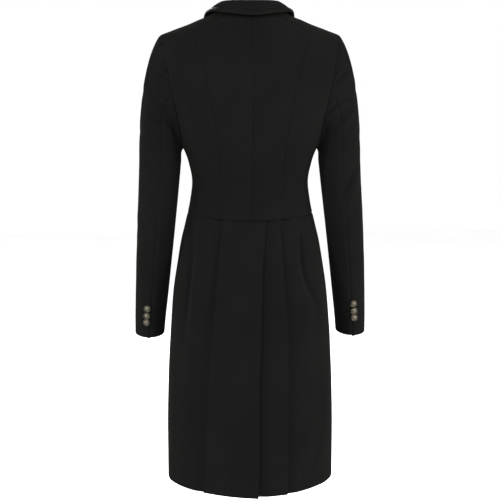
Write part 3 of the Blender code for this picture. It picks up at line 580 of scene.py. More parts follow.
def centre_left_form(angle, height):
    edges = edge_lift(angle, height, PLEAT_LEFT) + edge_lift(angle, height, VENT)
    return skirt_form(angle, height) + edges


def centre_right_form(angle, height):
    return lap(VENT, RIGHT)(angle, height) + edge_lift(angle, height, PLEAT_RIGHT)


def front_left_form(angle, height):
    """The left front lies behind the right front where they close."""
    angle = np.where(angle < 0, angle + 2 * math.pi, angle)
    out = ring_radius(angle, height) * np.sin(angle)
    past = smooth_step(*CLOSING_HEIGHTS, height)
    covered = 1 - smooth_step(CLOSING_REACH, CLOSING_REACH + CLOSING_RISE, out)
    return skirt_form(angle, height) - CLOSING_LAP * past * covered


def plain_form(angle, height):
    return np.zeros(np.broadcast(angle, height).shape)


# -------- creases
BACK, FRONT, OUTER = "back", "front", "outer"

# Creases of the bodice and skirt seen from the back, or from the front: distance from the centre
# and height at the start, middle and end, depth, half width, ridge beside it
BODY_CREASES = in_metres((
    (BACK, 131, -416, 0, -425, -131, -416, 1.1, 3.2, 0.9),
    (BACK, 140, -655, 127, -525, 122, -425, 3.6, 5, 0.8),
    (BACK, 84.6, -440, 91, -476, 98.5, -512, 0.8, 4.2, 0.6),
    (BACK, 100.6, -436, 108.5, -482, 114, -528, 1, 4.8, 0.6),
    (BACK, 111, -440, 115, -480, 119, -516, 0.7, 4, 0.5),
    (BACK, 140, -478, 136, -500, 128, -530, 1.2, 6, 0.5),
    (BACK, 100, -560, 105, -730, 108, -940, 1.6, 15, 0.0),
    (BACK, 130, -660, 134, -780, 132, -930, -1.4, 16, 0.0),
    (BACK, -101, -425, -103, -520, -131, -596, 2.8, 5, 0.8),
    (BACK, -80, -438, -82, -470, -88, -520, 0.7, 5, 0.4),
    (BACK, -126, -446, -132, -480, -140, -515, 1, 5, 0.4),
    (BACK, -79, -590, -80, -760, -82, -950, 1.5, 12, 0.0),
    (BACK, -106, -600, -110, -740, -108, -900, -1.5, 17, 0.0),
    (BACK, -118, -960, -128, -930, -137, -895, 0.9, 5, 0.8),
    (BACK, 17.7, -578, 5.7, -592, -9, -612, 0.5, 4, 0.6),
    (BACK, 12, -560, 2, -570, -8, -588, 0.4, 4, 0.6),
    (BACK, 110, -290, 96, -340, 92, -410, 0.9, 8, 0.4),
    (BACK, -112, -285, -98, -345, -94, -405, 0.8, 8, 0.4),
    (BACK, 126, -255, 134, -225, 150, -195, 1, 7, 0.4),
    (BACK, -128, -262, -136, -232, -148, -205, 1, 7, 0.4),
    (BACK, 20, -330, 34, -352, 56, -366, 0.5, 8, 0.3),
    (BACK, -18, -352, -34, -370, -52, -378, 0.5, 8, 0.3),
    (BACK, 140, -560, 150, -700, 146, -880, 1, 11, 0.3),
    (BACK, -128, -600, -136, -740, -134, -900, 1.2, 11, 0.3),
    (FRONT, 118, -215, 108, -250, 92, -280, 1.4, 7, 0.5),
    (FRONT, -120, -205, -106, -246, -90, -285, 1.4, 7, 0.5),
    (FRONT, 104, -320, 70, -338, 30, -341, 1.1, 6, 0.5),
    (FRONT, -108, -328, -70, -342, -28, -340, 1.2, 6, 0.5),
    (FRONT, 96, -362, 66, -372, 36, -374, 0.8, 5.5, 0.4),
    (FRONT, -92, -370, -64, -382, -34, -380, 0.9, 5.5, 0.4),
    (FRONT, 94, -440, 98, -520, 112, -640, 2, 8.5, 0.4),
    (FRONT, -92, -436, -94, -530, -104, -660, 2.2, 9, 0.4),
    (FRONT, 62, -436, 60, -500, 68, -575, 1.2, 7.5, 0.4),
    (FRONT, -58, -440, -56, -492, -62, -560, 1.2, 7.5, 0.4),
    (FRONT, 136, -560, 142, -700, 136, -850, 1.2, 11, 0.3),
    (FRONT, -138, -580, -144, -720, -140, -870, 1.2, 11, 0.3),
    (FRONT, 125, -110, 138, -150, 146, -190, 1.2, 8, 0.4),
    (FRONT, -125, -115, -138, -152, -146, -195, 1.2, 8, 0.4),
), others=(0, 9))

# Creases of the left sleeve: distance from the centre, or from front to back, and height of the
# start, middle and end, depth, half width, ridge beside it
LEFT_SLEEVE_CREASES = in_metres((
    (BACK, 165.7, -139, 191.9, -126.8, 216, -140, 3.2, 4.6, 1.2),
    (BACK, 196, -140, 184.1, -164, 165, -186, 4.4, 13, 0.0),
    (BACK, 206, -153, 188.4, -184.6, 162, -202, 3.4, 5, 1.1),
    (BACK, 160, -235, 190, -222.9, 211, -229, 2.6, 4.2, 0.9),
    (BACK, 169, -224, 156.1, -242, 147, -261, 3, 5, 0.7),
    (BACK, 147, -264, 152.3, -285.4, 160, -311, 1.2, 4.2, 0.5),
    (BACK, 210.9, -198, 213.2, -229.5, 209.4, -266, -1, 8, 0.0),
    (BACK, 226, -332, 216.3, -348, 205, -364, 1.4, 8, 0.7),
    (BACK, 230, -420, 214, -440, 190, -450, 0.9, 8, 0.5),
    (BACK, 228, -505, 214, -520, 196, -530, 0.7, 8, 0.5),
    (OUTER, -40, -150, -12, -164, 20, -160, 0.8, 8, 0.5),
    (OUTER, -48, -235, -14, -246, 22, -240, 0.8, 9, 0.5),
    (OUTER, -52, -400, -26, -428, 10, -446, 0.8, 9, 0.5),
    (OUTER, -54, -450, -30, -470, 0, -480, 0.7, 8, 0.5),
    (FRONT, 222, -150, 200, -172, 172, -200, 2, 8, 0.6),
    (FRONT, 224, -212, 202, -226, 172, -240, 2.2, 8, 0.6),
    (FRONT, 226, -398, 206, -412, 180, -404, 1.7, 7.5, 0.7),
    (FRONT, 226, -436, 204, -444, 176, -436, 1.8, 7.5, 0.7),
    (FRONT, 222, -478, 202, -482, 180, -470, 1.3, 7.5, 0.6),
    (FRONT, 226, -580, 208, -590, 188, -586, 1, 8, 0.5),
), others=(0, 9))

# Creases of the right sleeve, as seen on the left side
RIGHT_SLEEVE_CREASES = in_metres((
    (BACK, 169, -151, 188.9, -128.7, 208, -112, 2.8, 6, 1.0),
    (BACK, 168, -169, 192.7, -159.2, 222, -156, 3.6, 12, 0.0),
    (BACK, 219, -177, 182, -185, 154, -205, 3.4, 5, 1.1),
    (BACK, 217, -186, 192.6, -210.1, 169, -237, 2.7, 5.5, 1.0),
    (BACK, 221, -203, 202.7, -230.5, 182, -264, 2, 6, 0.9),
    (BACK, 223, -310, 200.8, -351.3, 188, -386, 4, 6, 1.1),
    (BACK, 227, -386, 207.8, -405.5, 192, -433, 1.4, 7, 0.7),
    (BACK, 153, -225, 150, -242, 144, -260, 1.4, 4.2, 0.5),
    (BACK, 230, -518, 216, -534, 198, -540, 0.7, 8, 0.5),
    (OUTER, -44, -140, -10, -156, 24, -168, 0.8, 8, 0.5),
    (OUTER, -46, -250, -12, -256, 24, -262, 0.8, 9, 0.5),
    (OUTER, -52, -392, -22, -416, 14, -430, 0.8, 9, 0.5),
    (OUTER, -54, -456, -30, -476, 2, -492, 0.7, 8, 0.5),
    (FRONT, 222, -158, 200, -180, 172, -206, 2, 8, 0.6),
    (FRONT, 224, -224, 202, -236, 172, -248, 2.2, 8, 0.6),
    (FRONT, 226, -406, 206, -420, 180, -414, 1.7, 7.5, 0.7),
    (FRONT, 226, -446, 204, -452, 176, -444, 1.8, 7.5, 0.7),
    (FRONT, 222, -488, 202, -494, 180, -480, 1.3, 7.5, 0.6),
    (FRONT, 226, -572, 208, -584, 188, -580, 1, 8, 0.5),
), others=(0, 9))

CREASE_STEPS = 12               # straight steps along a crease
CREASE_END = 0.02               # share of a crease's length at which its taper stops
CREASE_SLENDER, CREASE_GROWTH = 0.75, 0.5   # its width at the start, and what it gains
CREASE_TURN = (0.05, 0.60)      # how far the cloth must face the crease's view to show it
RIDGE_PLACE, RIDGE_WIDTH = 1.9, 1.1     # the ridge beside a crease, in widths of the crease
RIDGE_SHARE = 0.6               # its height, as a share of the crease's depth
TAPER_POWER = 0.6
FAR = 1.0                       # farther than any place on the jacket
CREASE_CLEAR = 0.010            # a sleeve's creases grow over this distance from the armhole
TOP_SEAM_SHARE = 1.4            # the seams at the shoulders and the waist sink this much deeper


def crease_path(start, middle, end):
    """Places along a bent line that passes through its middle place."""
    share = np.linspace(0.0, 1.0, CREASE_STEPS + 1)[:, None]
    handle = 2 * middle - (start + end) / 2
    return start * (1 - share) ** 2 + handle * 2 * share * (1 - share) + end * share ** 2


def crease_lift(points, normals, creases):
    """How far the creases in a table move points whose cloth faces along these normals."""
    amount = bpy.context.scene.frock_sizes.crease
    out, back = normals[..., 0], normals[..., 1]
    lift = np.zeros(points.shape[:-1])
    for view, x1, z1, x2, z2, x3, z3, depth, half_width, ridge in creases:
        if view == OUTER:
            plane, facing = points[..., [1, 2]], out
        else:
            plane, facing = points[..., [0, 2]], back if view == BACK else -back
        path = crease_path(np.array([x1, z1]), np.array([x2, z2]), np.array([x3, z3]))
        nearest = np.full(lift.shape, FAR)
        side = np.zeros(lift.shape)
        share = np.zeros(lift.shape)
        for k in range(CREASE_STEPS):
            step = path[k + 1] - path[k]
            away = plane - path[k]
            passed = np.clip((away @ step) / (step @ step), 0.0, 1.0)
            gap = away - passed[..., None] * step
            distance = np.linalg.norm(gap, axis=-1)
            closer = distance < nearest
            nearest = np.where(closer, distance, nearest)
            side = np.where(closer, np.sign(step[0] * gap[..., 1] - step[1] * gap[..., 0]), side)
            share = np.where(closer, (k + passed) / CREASE_STEPS, share)
        taper = np.sin(np.pi * np.clip(share, CREASE_END, 1 - CREASE_END)) ** TAPER_POWER
        width = half_width * (CREASE_SLENDER + CREASE_GROWTH * share)
        seen = smooth_step(*CREASE_TURN, facing)
        trough = bump(nearest, width)
        beside = bump(side * nearest - RIDGE_PLACE * width, RIDGE_WIDTH * width)
        lift += amount * depth * seen * taper * (ridge * RIDGE_SHARE * beside - trough)
    return lift


# -------- shells of cloth
def sewn_out(points):
    """Moves a panel's four edges out by half the width that sewn pieces share."""
    result = points.copy()
    for edge, neighbour in ((0, 1), (-1, -2)):
        result[:, edge] -= unit(points[:, neighbour] - points[:, edge]) * (SEAM_HOLD / 2)
        result[edge] -= unit(points[neighbour] - points[edge]) * (SEAM_HOLD / 2)
    return result


def cut_size(points):
    """Width, length and area of the flat cloth that a grid of points was cut from."""
    width = float(lengths(points, 1)[:, -1].max())
    length = float(lengths(points, 0)[-1].max())
    down = points[1:, :-1] - points[:-1, :-1]
    across = points[:-1, 1:] - points[:-1, :-1]
    area = float(np.linalg.norm(np.cross(down, across), axis=-1).sum())
    return width, length, min(area, width * length)


def mesh_of(name, bm):
    mesh = bpy.data.meshes.new(name)
    bm.to_mesh(mesh)
    bm.free()
    return mesh


def link(name, mesh, material):
    """Adds a finished mesh to the scene, on the root body."""
    piece = bpy.data.objects.new(name, mesh)
    mesh.materials.append(material)
    bpy.context.scene.collection.objects.link(piece)
    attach(piece, "root")
    return piece


def grid_mesh(name, points, outward):
    """A grid bent onto the points, with the cut's own sizes in metres as its UV map."""
    rows, columns = points.shape[:2]
    bm = bmesh.new()
    bmesh.ops.create_grid(bm, x_segments=columns - 1, y_segments=rows - 1, size=1.0)
    mesh = mesh_of(name, bm)
    mesh.vertices.foreach_set("co", points.astype(np.float32).ravel())
    across = lengths(points, 1)
    across -= across[:, -1:] / 2
    cut = np.stack([across, -lengths(points, 0)], axis=-1).reshape(-1, 2)
    corners = np.empty(len(mesh.loops), dtype=np.int32)
    mesh.loops.foreach_get("vertex_index", corners)
    layer = mesh.uv_layers.new(name="cut")
    layer.data.foreach_set("uv", cut[corners].astype(np.float32).ravel())
    mesh.update()
    facing = np.empty(len(mesh.polygons) * 3, dtype=np.float32)
    mesh.polygons.foreach_get("normal", facing)
    middle = (outward[1:, 1:] + outward[:-1, :-1]).reshape(-1, 3)
    if (facing.reshape(-1, 3) * middle).sum() < 0:
        mesh.flip_normals()
    mesh.shade_smooth()
    return mesh


def make_shell(name, node, points, outward, material, thickness, round_edge):
    """A shell of cloth under a grid of points, with soft edges, in place of its solid."""
    piece = link(name, grid_mesh(name, points, outward), material)
    wall = piece.modifiers.new("thickness", "SOLIDIFY")
    wall.thickness = thickness
    wall.offset = -1.0
    edge = piece.modifiers.new("soft edge", "BEVEL")
    edge.width = round_edge
    edge.segments = 2
    edge.limit_method = "ANGLE"
    edge.angle_limit = math.radians(SOFT_EDGE_ANGLE)
    surfaces[node] = (points, outward)
    width, length, area = cut_size(points)
    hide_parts(node)


ALL_EDGES = ("top", "bottom", "first", "last")


def seam_dip(points, seams, share=1.0):
    """Cloth sinks a little along each seamed edge of a panel: top, bottom, first and last."""
    sizes = bpy.context.scene.frock_sizes
    depth, width = sizes.seam_depth * share, sizes.seam_width
    across, down = lengths(points, 1), lengths(points, 0)
    gaps = {"top": down, "bottom": down[-1:] - down, "first": across, "last": across[:, -1:] - across}
    dip = np.zeros(points.shape[:-1])
    for edge in seams:
        dip -= depth * (TOP_SEAM_SHARE if edge == "top" else 1.0) * bump(gaps[edge], width)
    return dip


def make_cloth(node, points, outward):
    sizes = bpy.context.scene.frock_sizes
    make_shell(f"{node}_cloth", node, points, outward, cloth_paint(),
               sizes.cloth, sizes.soft_edge)


def make_panel(node, places, form, seams, lift=0.0):
    """A panel of the body from its (angle, height) places and the form's offset there."""
    angle, height = places
    normals = body_normal(angle, height)
    raised = form(angle, height) + lift
    points = body_point(angle, height) + normals * raised[..., None]
    fine = crease_lift(points, normals, BODY_CREASES)
    fine += seam_dip(points, seams)
    points = sewn_out(points + normals * fine[..., None])
    make_cloth(node, points, normals)


# -------- seam lines
def rows_between(first_edge, second_edge, shares):
    """Places on straight rows from one edge to the other, at the given shares of the way."""
    shares = np.asarray(shares)
    return [first[:, None] + (second - first)[:, None] * shares
            for first, second in zip(first_edge, second_edge)]


def even(count):
    return np.linspace(0.0, 1.0, count + 1)


def along(first, last):
    """Places along a table's rows, with the finer steps between them."""
    return np.linspace(first, last, abs(last - first) * STEPS + 1)


def all_along(table):
    return along(0, len(table) - 1)


def joined(*edges):
    """One edge from several that follow each other."""
    return [np.concatenate([edges[0][k]] + [edge[k][1:] for edge in edges[1:]]) for k in (0, 1)]


shoulder_curve = Curve(SHOULDER_SEAM)
princess_curve = Curve(PRINCESS_SEAM)
centre_curve = Curve(CENTRE_BACK)
armhole_curve = Curve(ARMHOLE)
side_curve = Curve(SIDE_SEAM)
neck_curve = Curve(NECK_ROWS)
front_curve = Curve(FRONT_EDGE)
skirt_curve = Curve(SKIRT_ROWS)
lapel_curve = Curve(LAPEL)


def back_seam(curve, rows):
    height, distance = curve.columns(rows)
    return angle_at(distance, height), height


def armhole_places(rows, front=False):
    height, back_angle, front_angle = armhole_curve.columns(rows)
    return np.radians(np.where(front, front_angle, back_angle)), height


def side_places(rows, side):
    height, left_angle, right_angle = side_curve.columns(rows)
    return np.radians(left_angle if side == LEFT else right_angle), height


def neck_places(rows):
    height, degrees = neck_curve.columns(rows)
    return np.radians(degrees), height


def front_edge_places(rows):
    height, distance = front_curve.columns(rows)
    return angle_at(distance, height, front=True), height


def waist_height(angle):
    return WAIST_BACK + WAIST_SIDE_RISE * np.sin(angle) ** 2


def on_side(places, side):
    return places[0] * side, places[1]


# -------- finishes
# Fineness of each finish's mottling, in waves for each metre
FIBRES, CLOUDS = 1400.0, 9.0
SLUBS = 420.0
TWIST = 2600.0
PATINA, SCRATCHES = 900.0, 5200.0
FLOOR_MOTTLE = 3.0
SATIN_RIB = 0.0008              # distance between the satin's cross ribs
YARN_TURNS = 1.7                # yarns that cross a rib of the twill
WORN_FROM, WORN_TO = 0.34, 0.48         # relief of a button at which its patina wears off
FLOOR_LIGHT = (0.90, 0.90, 0.90)


class Value:
    """A socket whose arithmetic adds Math nodes to its material."""

    def __init__(self, paint, socket):
        self.paint = paint
        self.socket = socket

    def maths(self, operation, first, second=0.0):
        return self.paint.node("ShaderNodeMath", {"operation": operation}, {0: first, 1: second})

    def __add__(self, other):
        return self.maths("ADD", self, other)

    def __radd__(self, other):
        return self.maths("ADD", other, self)

    def __sub__(self, other):
        return self.maths("SUBTRACT", self, other)

    def __rsub__(self, other):
        return self.maths("SUBTRACT", other, self)

    def __mul__(self, other):
        return self.maths("MULTIPLY", self, other)

    def __rmul__(self, other):
        return self.maths("MULTIPLY", other, self)

    def wave(self):
        return self.maths("SINE", self)


class Paint:
    """A material of this jacket and the nodes that give it its finish."""

    def __init__(self, name):
        self.material = bpy.data.materials.new(name)
        self.material.use_nodes = True
        self.tree = self.material.node_tree
        self.shader = self.tree.nodes["Principled BSDF"]

    def feed(self, socket, value):
        if isinstance(value, Value):
            self.tree.links.new(value.socket, socket)
        else:
            socket.default_value = value

    def node(self, kind, settings=None, inputs=None, output=0):
        new = self.tree.nodes.new(kind)
        for setting, value in (settings or {}).items():
            setattr(new, setting, value)
        for name, value in (inputs or {}).items():
            self.feed(new.inputs[name], value)
        return Value(self, new.outputs[output])

    def finish(self, **inputs):
        for name, value in inputs.items():
            self.feed(self.shader.inputs[name.replace("_", " ")], value)
        return self.material

    def place(self):
        return self.node("ShaderNodeTexCoord", output="Object")

    def split(self, vector):
        """The first two parts of a vector."""
        first = self.node("ShaderNodeSeparateXYZ", inputs={0: vector})
        return first, Value(self, first.socket.node.outputs[1])

    def cut(self):
        """Across and down on the flat cut, in metres."""
        return self.split(self.node("ShaderNodeUVMap", {"uv_map": "cut"}))

    def noise(self, scale, detail=2.0, roughness=0.5):
        return self.node("ShaderNodeTexNoise", inputs={
            "Vector": self.place(), "Scale": scale, "Detail": detail, "Roughness": roughness})

    def blend(self, amount, first, second):
        """A colour between two colours, by a value from 0 to 1."""
        return self.node("ShaderNodeMix", {"data_type": "RGBA", "clamp_factor": True},
                         {"Factor": amount, 6: first, 7: second}, output=2)

    def bump(self, height, distance, strength=1.0):
        return self.node("ShaderNodeBump", inputs={
            "Height": height, "Distance": distance, "Strength": strength})


def opaque(color):
    return (*color, 1.0)


def finish(name):
    """Makes a finish from its function when a piece first asks for it, and then keeps it."""
    def keep(make):
        def material():
            colours = bpy.context.scene.frock_colours
            return bpy.data.materials.get(name) or make(Paint(name), colours)
        return material
    return keep


@finish("black cloth")
def cloth_paint(paint, colours):
    """Black twill: fine diagonal ribs, short fibres and a soft, slightly warm bloom."""
    across, down = paint.cut()
    turns = 2 * math.pi / bpy.context.scene.frock_sizes.twill
    ribs = ((across + down) * (turns * math.sqrt(0.5))).wave()
    yarns = ((across - down) * (turns * YARN_TURNS)).wave()
    fibres = paint.noise(FIBRES, 3.0, 0.6)
    cloudy = paint.noise(CLOUDS, 3.0, 0.55)
    weave = ribs * 0.5 + yarns * 0.25 + fibres * 0.9
    shade = cloudy * 0.7 + fibres * 0.45 - 0.12
    return paint.finish(
        Base_Color=paint.blend(shade, opaque(colours.cloth_dark), opaque(colours.cloth_light)),
        Roughness=0.74 + cloudy * 0.22,
        Specular_IOR_Level=colours.cloth_gloss,
        Sheen_Weight=colours.cloth_sheen,
        Sheen_Roughness=0.45,
        Sheen_Tint=opaque(colours.bloom),
        Normal=paint.bump(weave, 0.00006, 0.8))


@finish("satin binding")
def satin_paint(paint, colours):
    """Black satin binding: close cross ribs with a soft gloss."""
    down = paint.cut()[1]
    ribs = (down * (2 * math.pi / SATIN_RIB)).wave()
    slubs = paint.noise(SLUBS, 3.0, 0.6)
    return paint.finish(
        Base_Color=paint.blend(slubs, opaque(colours.satin), opaque(colours.satin_light)),
        Roughness=0.44 + slubs * 0.14,
        Specular_IOR_Level=colours.satin_gloss,
        Normal=paint.bump(ribs * 0.4 + slubs * 0.6, 0.00008, 0.7))


@finish("black thread")
def thread_paint(paint, colours):
    """Black polyester thread: finely twisted, glossier than the cloth."""
    twist = paint.noise(TWIST, 1.0)
    return paint.finish(
        Base_Color=paint.blend(twist, opaque(colours.cloth_light), opaque(colours.thread)),
        Roughness=0.5 + twist * 0.2,
        Specular_IOR_Level=0.02,
        Normal=paint.bump(twist, 0.00005))


@finish("antique metal")
def metal_paint(paint, colours):
    """Antique metal: worn bright on the dome and rim, dark in the groove between them."""
    relief = paint.node("ShaderNodeAttribute", {"attribute_name": "relief"}, output="Color")
    height = paint.split(relief)[1]
    patina = paint.noise(PATINA, 4.0, 0.65)
    scratches = paint.noise(SCRATCHES)
    worn = paint.node("ShaderNodeMapRange", inputs={
        "Value": height + patina * 0.12, "From Min": WORN_FROM, "From Max": WORN_TO})
    tint = paint.blend(patina, opaque(colours.metal), opaque(colours.metal_warm))
    return paint.finish(
        Base_Color=paint.blend(worn, opaque(colours.recess), tint),
        Metallic=0.55 + worn * 0.45,
        Roughness=0.62 - worn * 0.34 + scratches * 0.08,
        Normal=paint.bump(patina * 0.7 + scratches * 0.3, 0.00008, 0.6))


@finish("studio floor")
def floor_paint(paint, colours):
    """Plain pale studio floor."""
    mottle = paint.noise(FLOOR_MOTTLE)
    return paint.finish(
        Base_Color=paint.blend(mottle, opaque(colours.floor), opaque(FLOOR_LIGHT)),
        Roughness=0.9)


# -------- bodice and fronts
def ease_row(places, row, curved):
    """Bends the first or last row of a panel to a curve, and less and less the rows beside it."""
    count = len(places[0])
    rows = np.arange(count) if row == 0 else np.arange(count)[::-1]
    fade = np.clip(1 - rows / STEPS, 0.0, 1.0)[:, None]
    return [place + fade * (line - place[row]) for place, line in zip(places, curved)]


def make_back(side, node):
    height = centre_curve.columns(all_along(CENTRE_BACK))[0]
    centre = (np.zeros(height.shape), height)
    outer = joined(back_seam(shoulder_curve, along(0, SHOULDER_ROWS_OF_BACK)),
                   back_seam(princess_curve, all_along(PRINCESS_SEAM)))
    places = rows_between(centre, outer, even(BACK_COLUMNS))
    places = ease_row(places, -1, (places[0][-1], waist_height(places[0][-1])))
    make_panel(node, on_side(places, side), plain_form, ALL_EDGES)


def make_side_back(side, node):
    princess = back_seam(princess_curve, all_along(PRINCESS_SEAM))
    outer = joined(armhole_places(along(SHOULDER_END, UNDERARM)), side_places(along(0, WAIST_ROW), side))
    places = rows_between(princess, outer, even(SIDE_BACK_COLUMNS))
    top = np.linspace(SHOULDER_ROWS_OF_BACK, len(SHOULDER_SEAM) - 1, SIDE_BACK_COLUMNS + 1)
    places = ease_row(places, 0, back_seam(shoulder_curve, top))
    places = ease_row(places, -1, (places[0][-1], waist_height(places[0][-1])))
    make_panel(node, on_side(places, side), plain_form, ALL_EDGES)


def make_front(side, node, form):
    outer = joined(armhole_places(along(SHOULDER_END, 0)), armhole_places(along(0, UNDERARM), True),
                   side_places(all_along(SIDE_SEAM), side))
    lead_in = np.arange(1, STEPS) / STEPS - 1
    neck = neck_places(all_along(NECK_ROWS))
    edge = front_edge_places(np.concatenate([lead_in, all_along(FRONT_EDGE)]))
    inner = [np.concatenate([neck[k], edge[k]]) for k in (0, 1)]
    shoulder = back_seam(shoulder_curve, along(len(SHOULDER_SEAM) - 1, 0))
    reach = lengths(body_point(*shoulder), 0)
    shares = reach / reach[-1]
    angle, height = ease_row(rows_between(outer, inner, shares), 0, shoulder)
    sag = FRONT_HEM_SAG * smooth_step(*FRONT_SAG_HEIGHTS, height[:, :1])
    height -= sag * (height[:, -1:] - height[:, :1]) * shares * (1 - shares)
    make_panel(node, on_side((angle, height), side), form, ("top", "first"))


def make_lapel(side, node, form):
    rows = along(0, LAPEL_END[side])
    roll_height, roll_distance, height, distance = lapel_curve.columns(rows)
    roll = (angle_at(roll_distance, roll_height, front=True), roll_height)
    outer = (angle_at(distance, height, front=True), height)
    shares = even(LAPEL_COLUMNS)
    places = rows_between(roll, outer, shares)
    lift = CLOTH + LAPEL_LIFT + LAPEL_ROLL * (1 - shares) ** 2
    make_panel(node, on_side(places, side), form, (), lift)


# -------- skirt
def skirt_height(height, angle):
    """Height on a skirt row, which rises a little from the centre back to the sides."""
    waist_share = smooth_step(*WAIST_RISE_HEIGHTS, height)
    hem_share = smooth_step(*HEM_RISE_HEIGHTS, height)
    return height + (WAIST_SIDE_RISE * waist_share + HEM_SIDE_RISE * hem_share) * np.sin(angle) ** 2


def skirt_edge(column, hidden=0.0):
    """Places down a pleat edge or the vent, moved by the width of cloth hidden behind it."""
    height, *distances = skirt_curve.columns(all_along(SKIRT_ROWS))
    angle = angle_at(distances[column], height)
    angle = angle + hidden / ring_radius(angle, height)
    return angle, skirt_height(height, angle)


def skirt_side_edge(side):
    return on_side(side_places(along(WAIST_ROW, len(SIDE_SEAM) - 1), side), side)


def make_skirt_panel(node, first_edge, second_edge, columns, form, seams, hem_drop=0.0):
    places = rows_between(first_edge, second_edge, even(columns))
    places = ease_row(places, 0, (places[0][0], waist_height(places[0][0])))
    places = ease_row(places, -1, (places[0][-1], places[1][-1] - hem_drop * even(columns)))
    make_panel(node, places, form, seams)


# -------- sleeves
sleeve_rings = Curve(SLEEVE_RINGS)


def sleeve_ring_point(turn, ring):
    height, out, half_width, back, half_depth, tilt = sleeve_rings.columns(ring)
    x = out + half_width * np.cos(turn)
    y = back + half_depth * np.sin(turn)
    return np.stack([x, y, height - tilt * (y - back)], axis=-1)


def armhole_round():
    """Rows round the armhole from the back sleeve seam over the shoulder and back to it."""
    back, front = along(BACK_SLEEVE_SEAM, 0), along(0, UNDERARM)[1:]
    under = along(UNDERARM, BACK_SLEEVE_SEAM)[1:]
    rows = np.concatenate([back, front, under])
    is_front = np.concatenate([np.zeros(len(back), bool), np.ones(len(front), bool),
                               np.zeros(len(under), bool)])
    return rows, is_front


def armhole_share(rows, is_front):
    """Share of the way down the armhole, front and back, at these rows."""
    table = along(0, UNDERARM)
    result = np.zeros(rows.shape)
    for front in (False, True):
        reach = lengths(body_point(*armhole_places(table, front)), 0)
        result = np.where(is_front == front, np.interp(rows, table, reach / reach[-1]), result)
    return result


def cap_grid(rows, is_front, share, turn):
    """The sleeve's cloth from the armhole to its first ring, row by row."""
    start = body_point(*armhole_places(rows, is_front))
    normal = body_normal(*armhole_places(rows, is_front))
    before = body_point(*armhole_places(np.maximum(rows - SMALL_STEP, 0), is_front))
    after = body_point(*armhole_places(np.minimum(rows + SMALL_STEP, UNDERARM), is_front))
    facing = np.where(is_front, -1.0, 1.0)[:, None]
    ahead = facing * np.array([0.0, 1.0, 0.0])
    at_top = smooth_step(CAP_ROUNDING, 0.0, rows)[:, None]
    at_foot = smooth_step(UNDERARM - CAP_FOOT_ROUNDING, UNDERARM, rows)[:, None]
    edge = unit(after - before) * (1 - at_top) * (1 - at_foot) + ahead * (at_top - at_foot)
    away = unit(np.cross(edge, normal) * facing)
    lean = (math.pi / 2 * share)[:, None]
    direction = away * np.cos(lean) + normal * np.sin(lean)
    start = start - away * (SEAM_HOLD / 2)
    end = sleeve_ring_point(turn, 0.0)
    length = np.linalg.norm(end - start, axis=-1, keepdims=True)
    first = start + direction * (CAP_REACH + CAP_REACH_UNDER * share[:, None]) * length
    second = end + np.array([0.0, 0.0, CAP_DROP]) * length
    steps = np.linspace(0, len(CAP_STEPS) - 1, (len(CAP_STEPS) - 1) * STEPS + 1)[:-1]
    t = np.interp(steps, np.arange(len(CAP_STEPS)), CAP_STEPS)[:, None, None]
    return (start * (1 - t) ** 3 + first * 3 * t * (1 - t) ** 2
            + second * 3 * t * t * (1 - t) + end * t ** 3)


def sleeve_fold(turn, height):
    lift = np.zeros(np.broadcast(turn, height).shape)
    for start_turn, start_height, end_turn, end_height, depth, half_width in SLEEVE_FOLDS:
        share = (np.degrees(turn) % 360 - start_turn) / (end_turn - start_turn)
        strength = smooth_step(*SLEEVE_FOLD_START, share) * smooth_step(*SLEEVE_FOLD_END, share)
        middle = start_height + (end_height - start_height) * share
        lift -= depth * strength * bump(height - middle, half_width)
    return lift


def right_swing(height):
    return RIGHT_SLEEVE_SWING * smooth_step(*SWING_HEIGHTS, height)


def round_normals(points):
    """Normals of a closed ring of columns, facing out."""
    wrapped = np.concatenate([points[:, -2:-1], points, points[:, 1:2]], axis=1)
    around = wrapped[:, 2:] - wrapped[:, :-2]
    return unit(np.cross(around, np.gradient(points, axis=0)))


def armhole_clear(points):
    return smooth_step(0.0, CREASE_CLEAR, lengths(points, 0))


def sleeve_grid(side):
    """Points and normals of a sleeve with its folds; its first and last columns meet."""
    rows, is_front = armhole_round()
    share = armhole_share(rows, is_front)
    turn = np.radians(np.where(is_front, 360 - 180 * share, 180 * share))
    rings = all_along(SLEEVE_RINGS)[:, None]
    points = np.concatenate([cap_grid(rows, is_front, share, turn), sleeve_ring_point(turn, rings)])
    plain = round_normals(points)
    grown = smooth_step(0, SLEEVE_FOLD_ROWS, np.arange(len(points)) / STEPS)[:, None]
    points = points + plain * (sleeve_fold(turn, points[..., 2]) * grown)[..., None]
    creases = LEFT_SLEEVE_CREASES if side == LEFT else RIGHT_SLEEVE_CREASES
    normals = round_normals(points)
    creased = crease_lift(points, plain, creases) * armhole_clear(points)
    points = points + normals * creased[..., None]
    normals = round_normals(points)
    if side == RIGHT:
        points[..., 0] += right_swing(points[..., 2])
    mirror = np.array([side, 1, 1])
    return points * mirror, normals * mirror


def make_sleeve(side, upper_node, under_node):
    points, normals = sleeve_grid(side)
    split = (BACK_SLEEVE_SEAM + FRONT_SLEEVE_SEAM) * STEPS
    for node, span in ((upper_node, slice(0, split + 1)), (under_node, slice(split, None))):
        part, outward = points[:, span].copy(), normals[:, span]
        if node == upper_node:
            rows = np.arange(len(part))[:, None] - len(part) + 1
            corner = 1 - smooth_step(0.0, CUFF_CORNER_WIDTH, lengths(part, 1))
            part[..., 2] -= CUFF_CORNER * corner * smooth_step(-STEPS, 0, rows)
        dip = seam_dip(part, ("first", "last")) * armhole_clear(part)
        dip += seam_dip(part, ("top",), ARMHOLE_SEAM_SHARE)
        make_cloth(node, sewn_out(part + outward * dip[..., None]), outward)


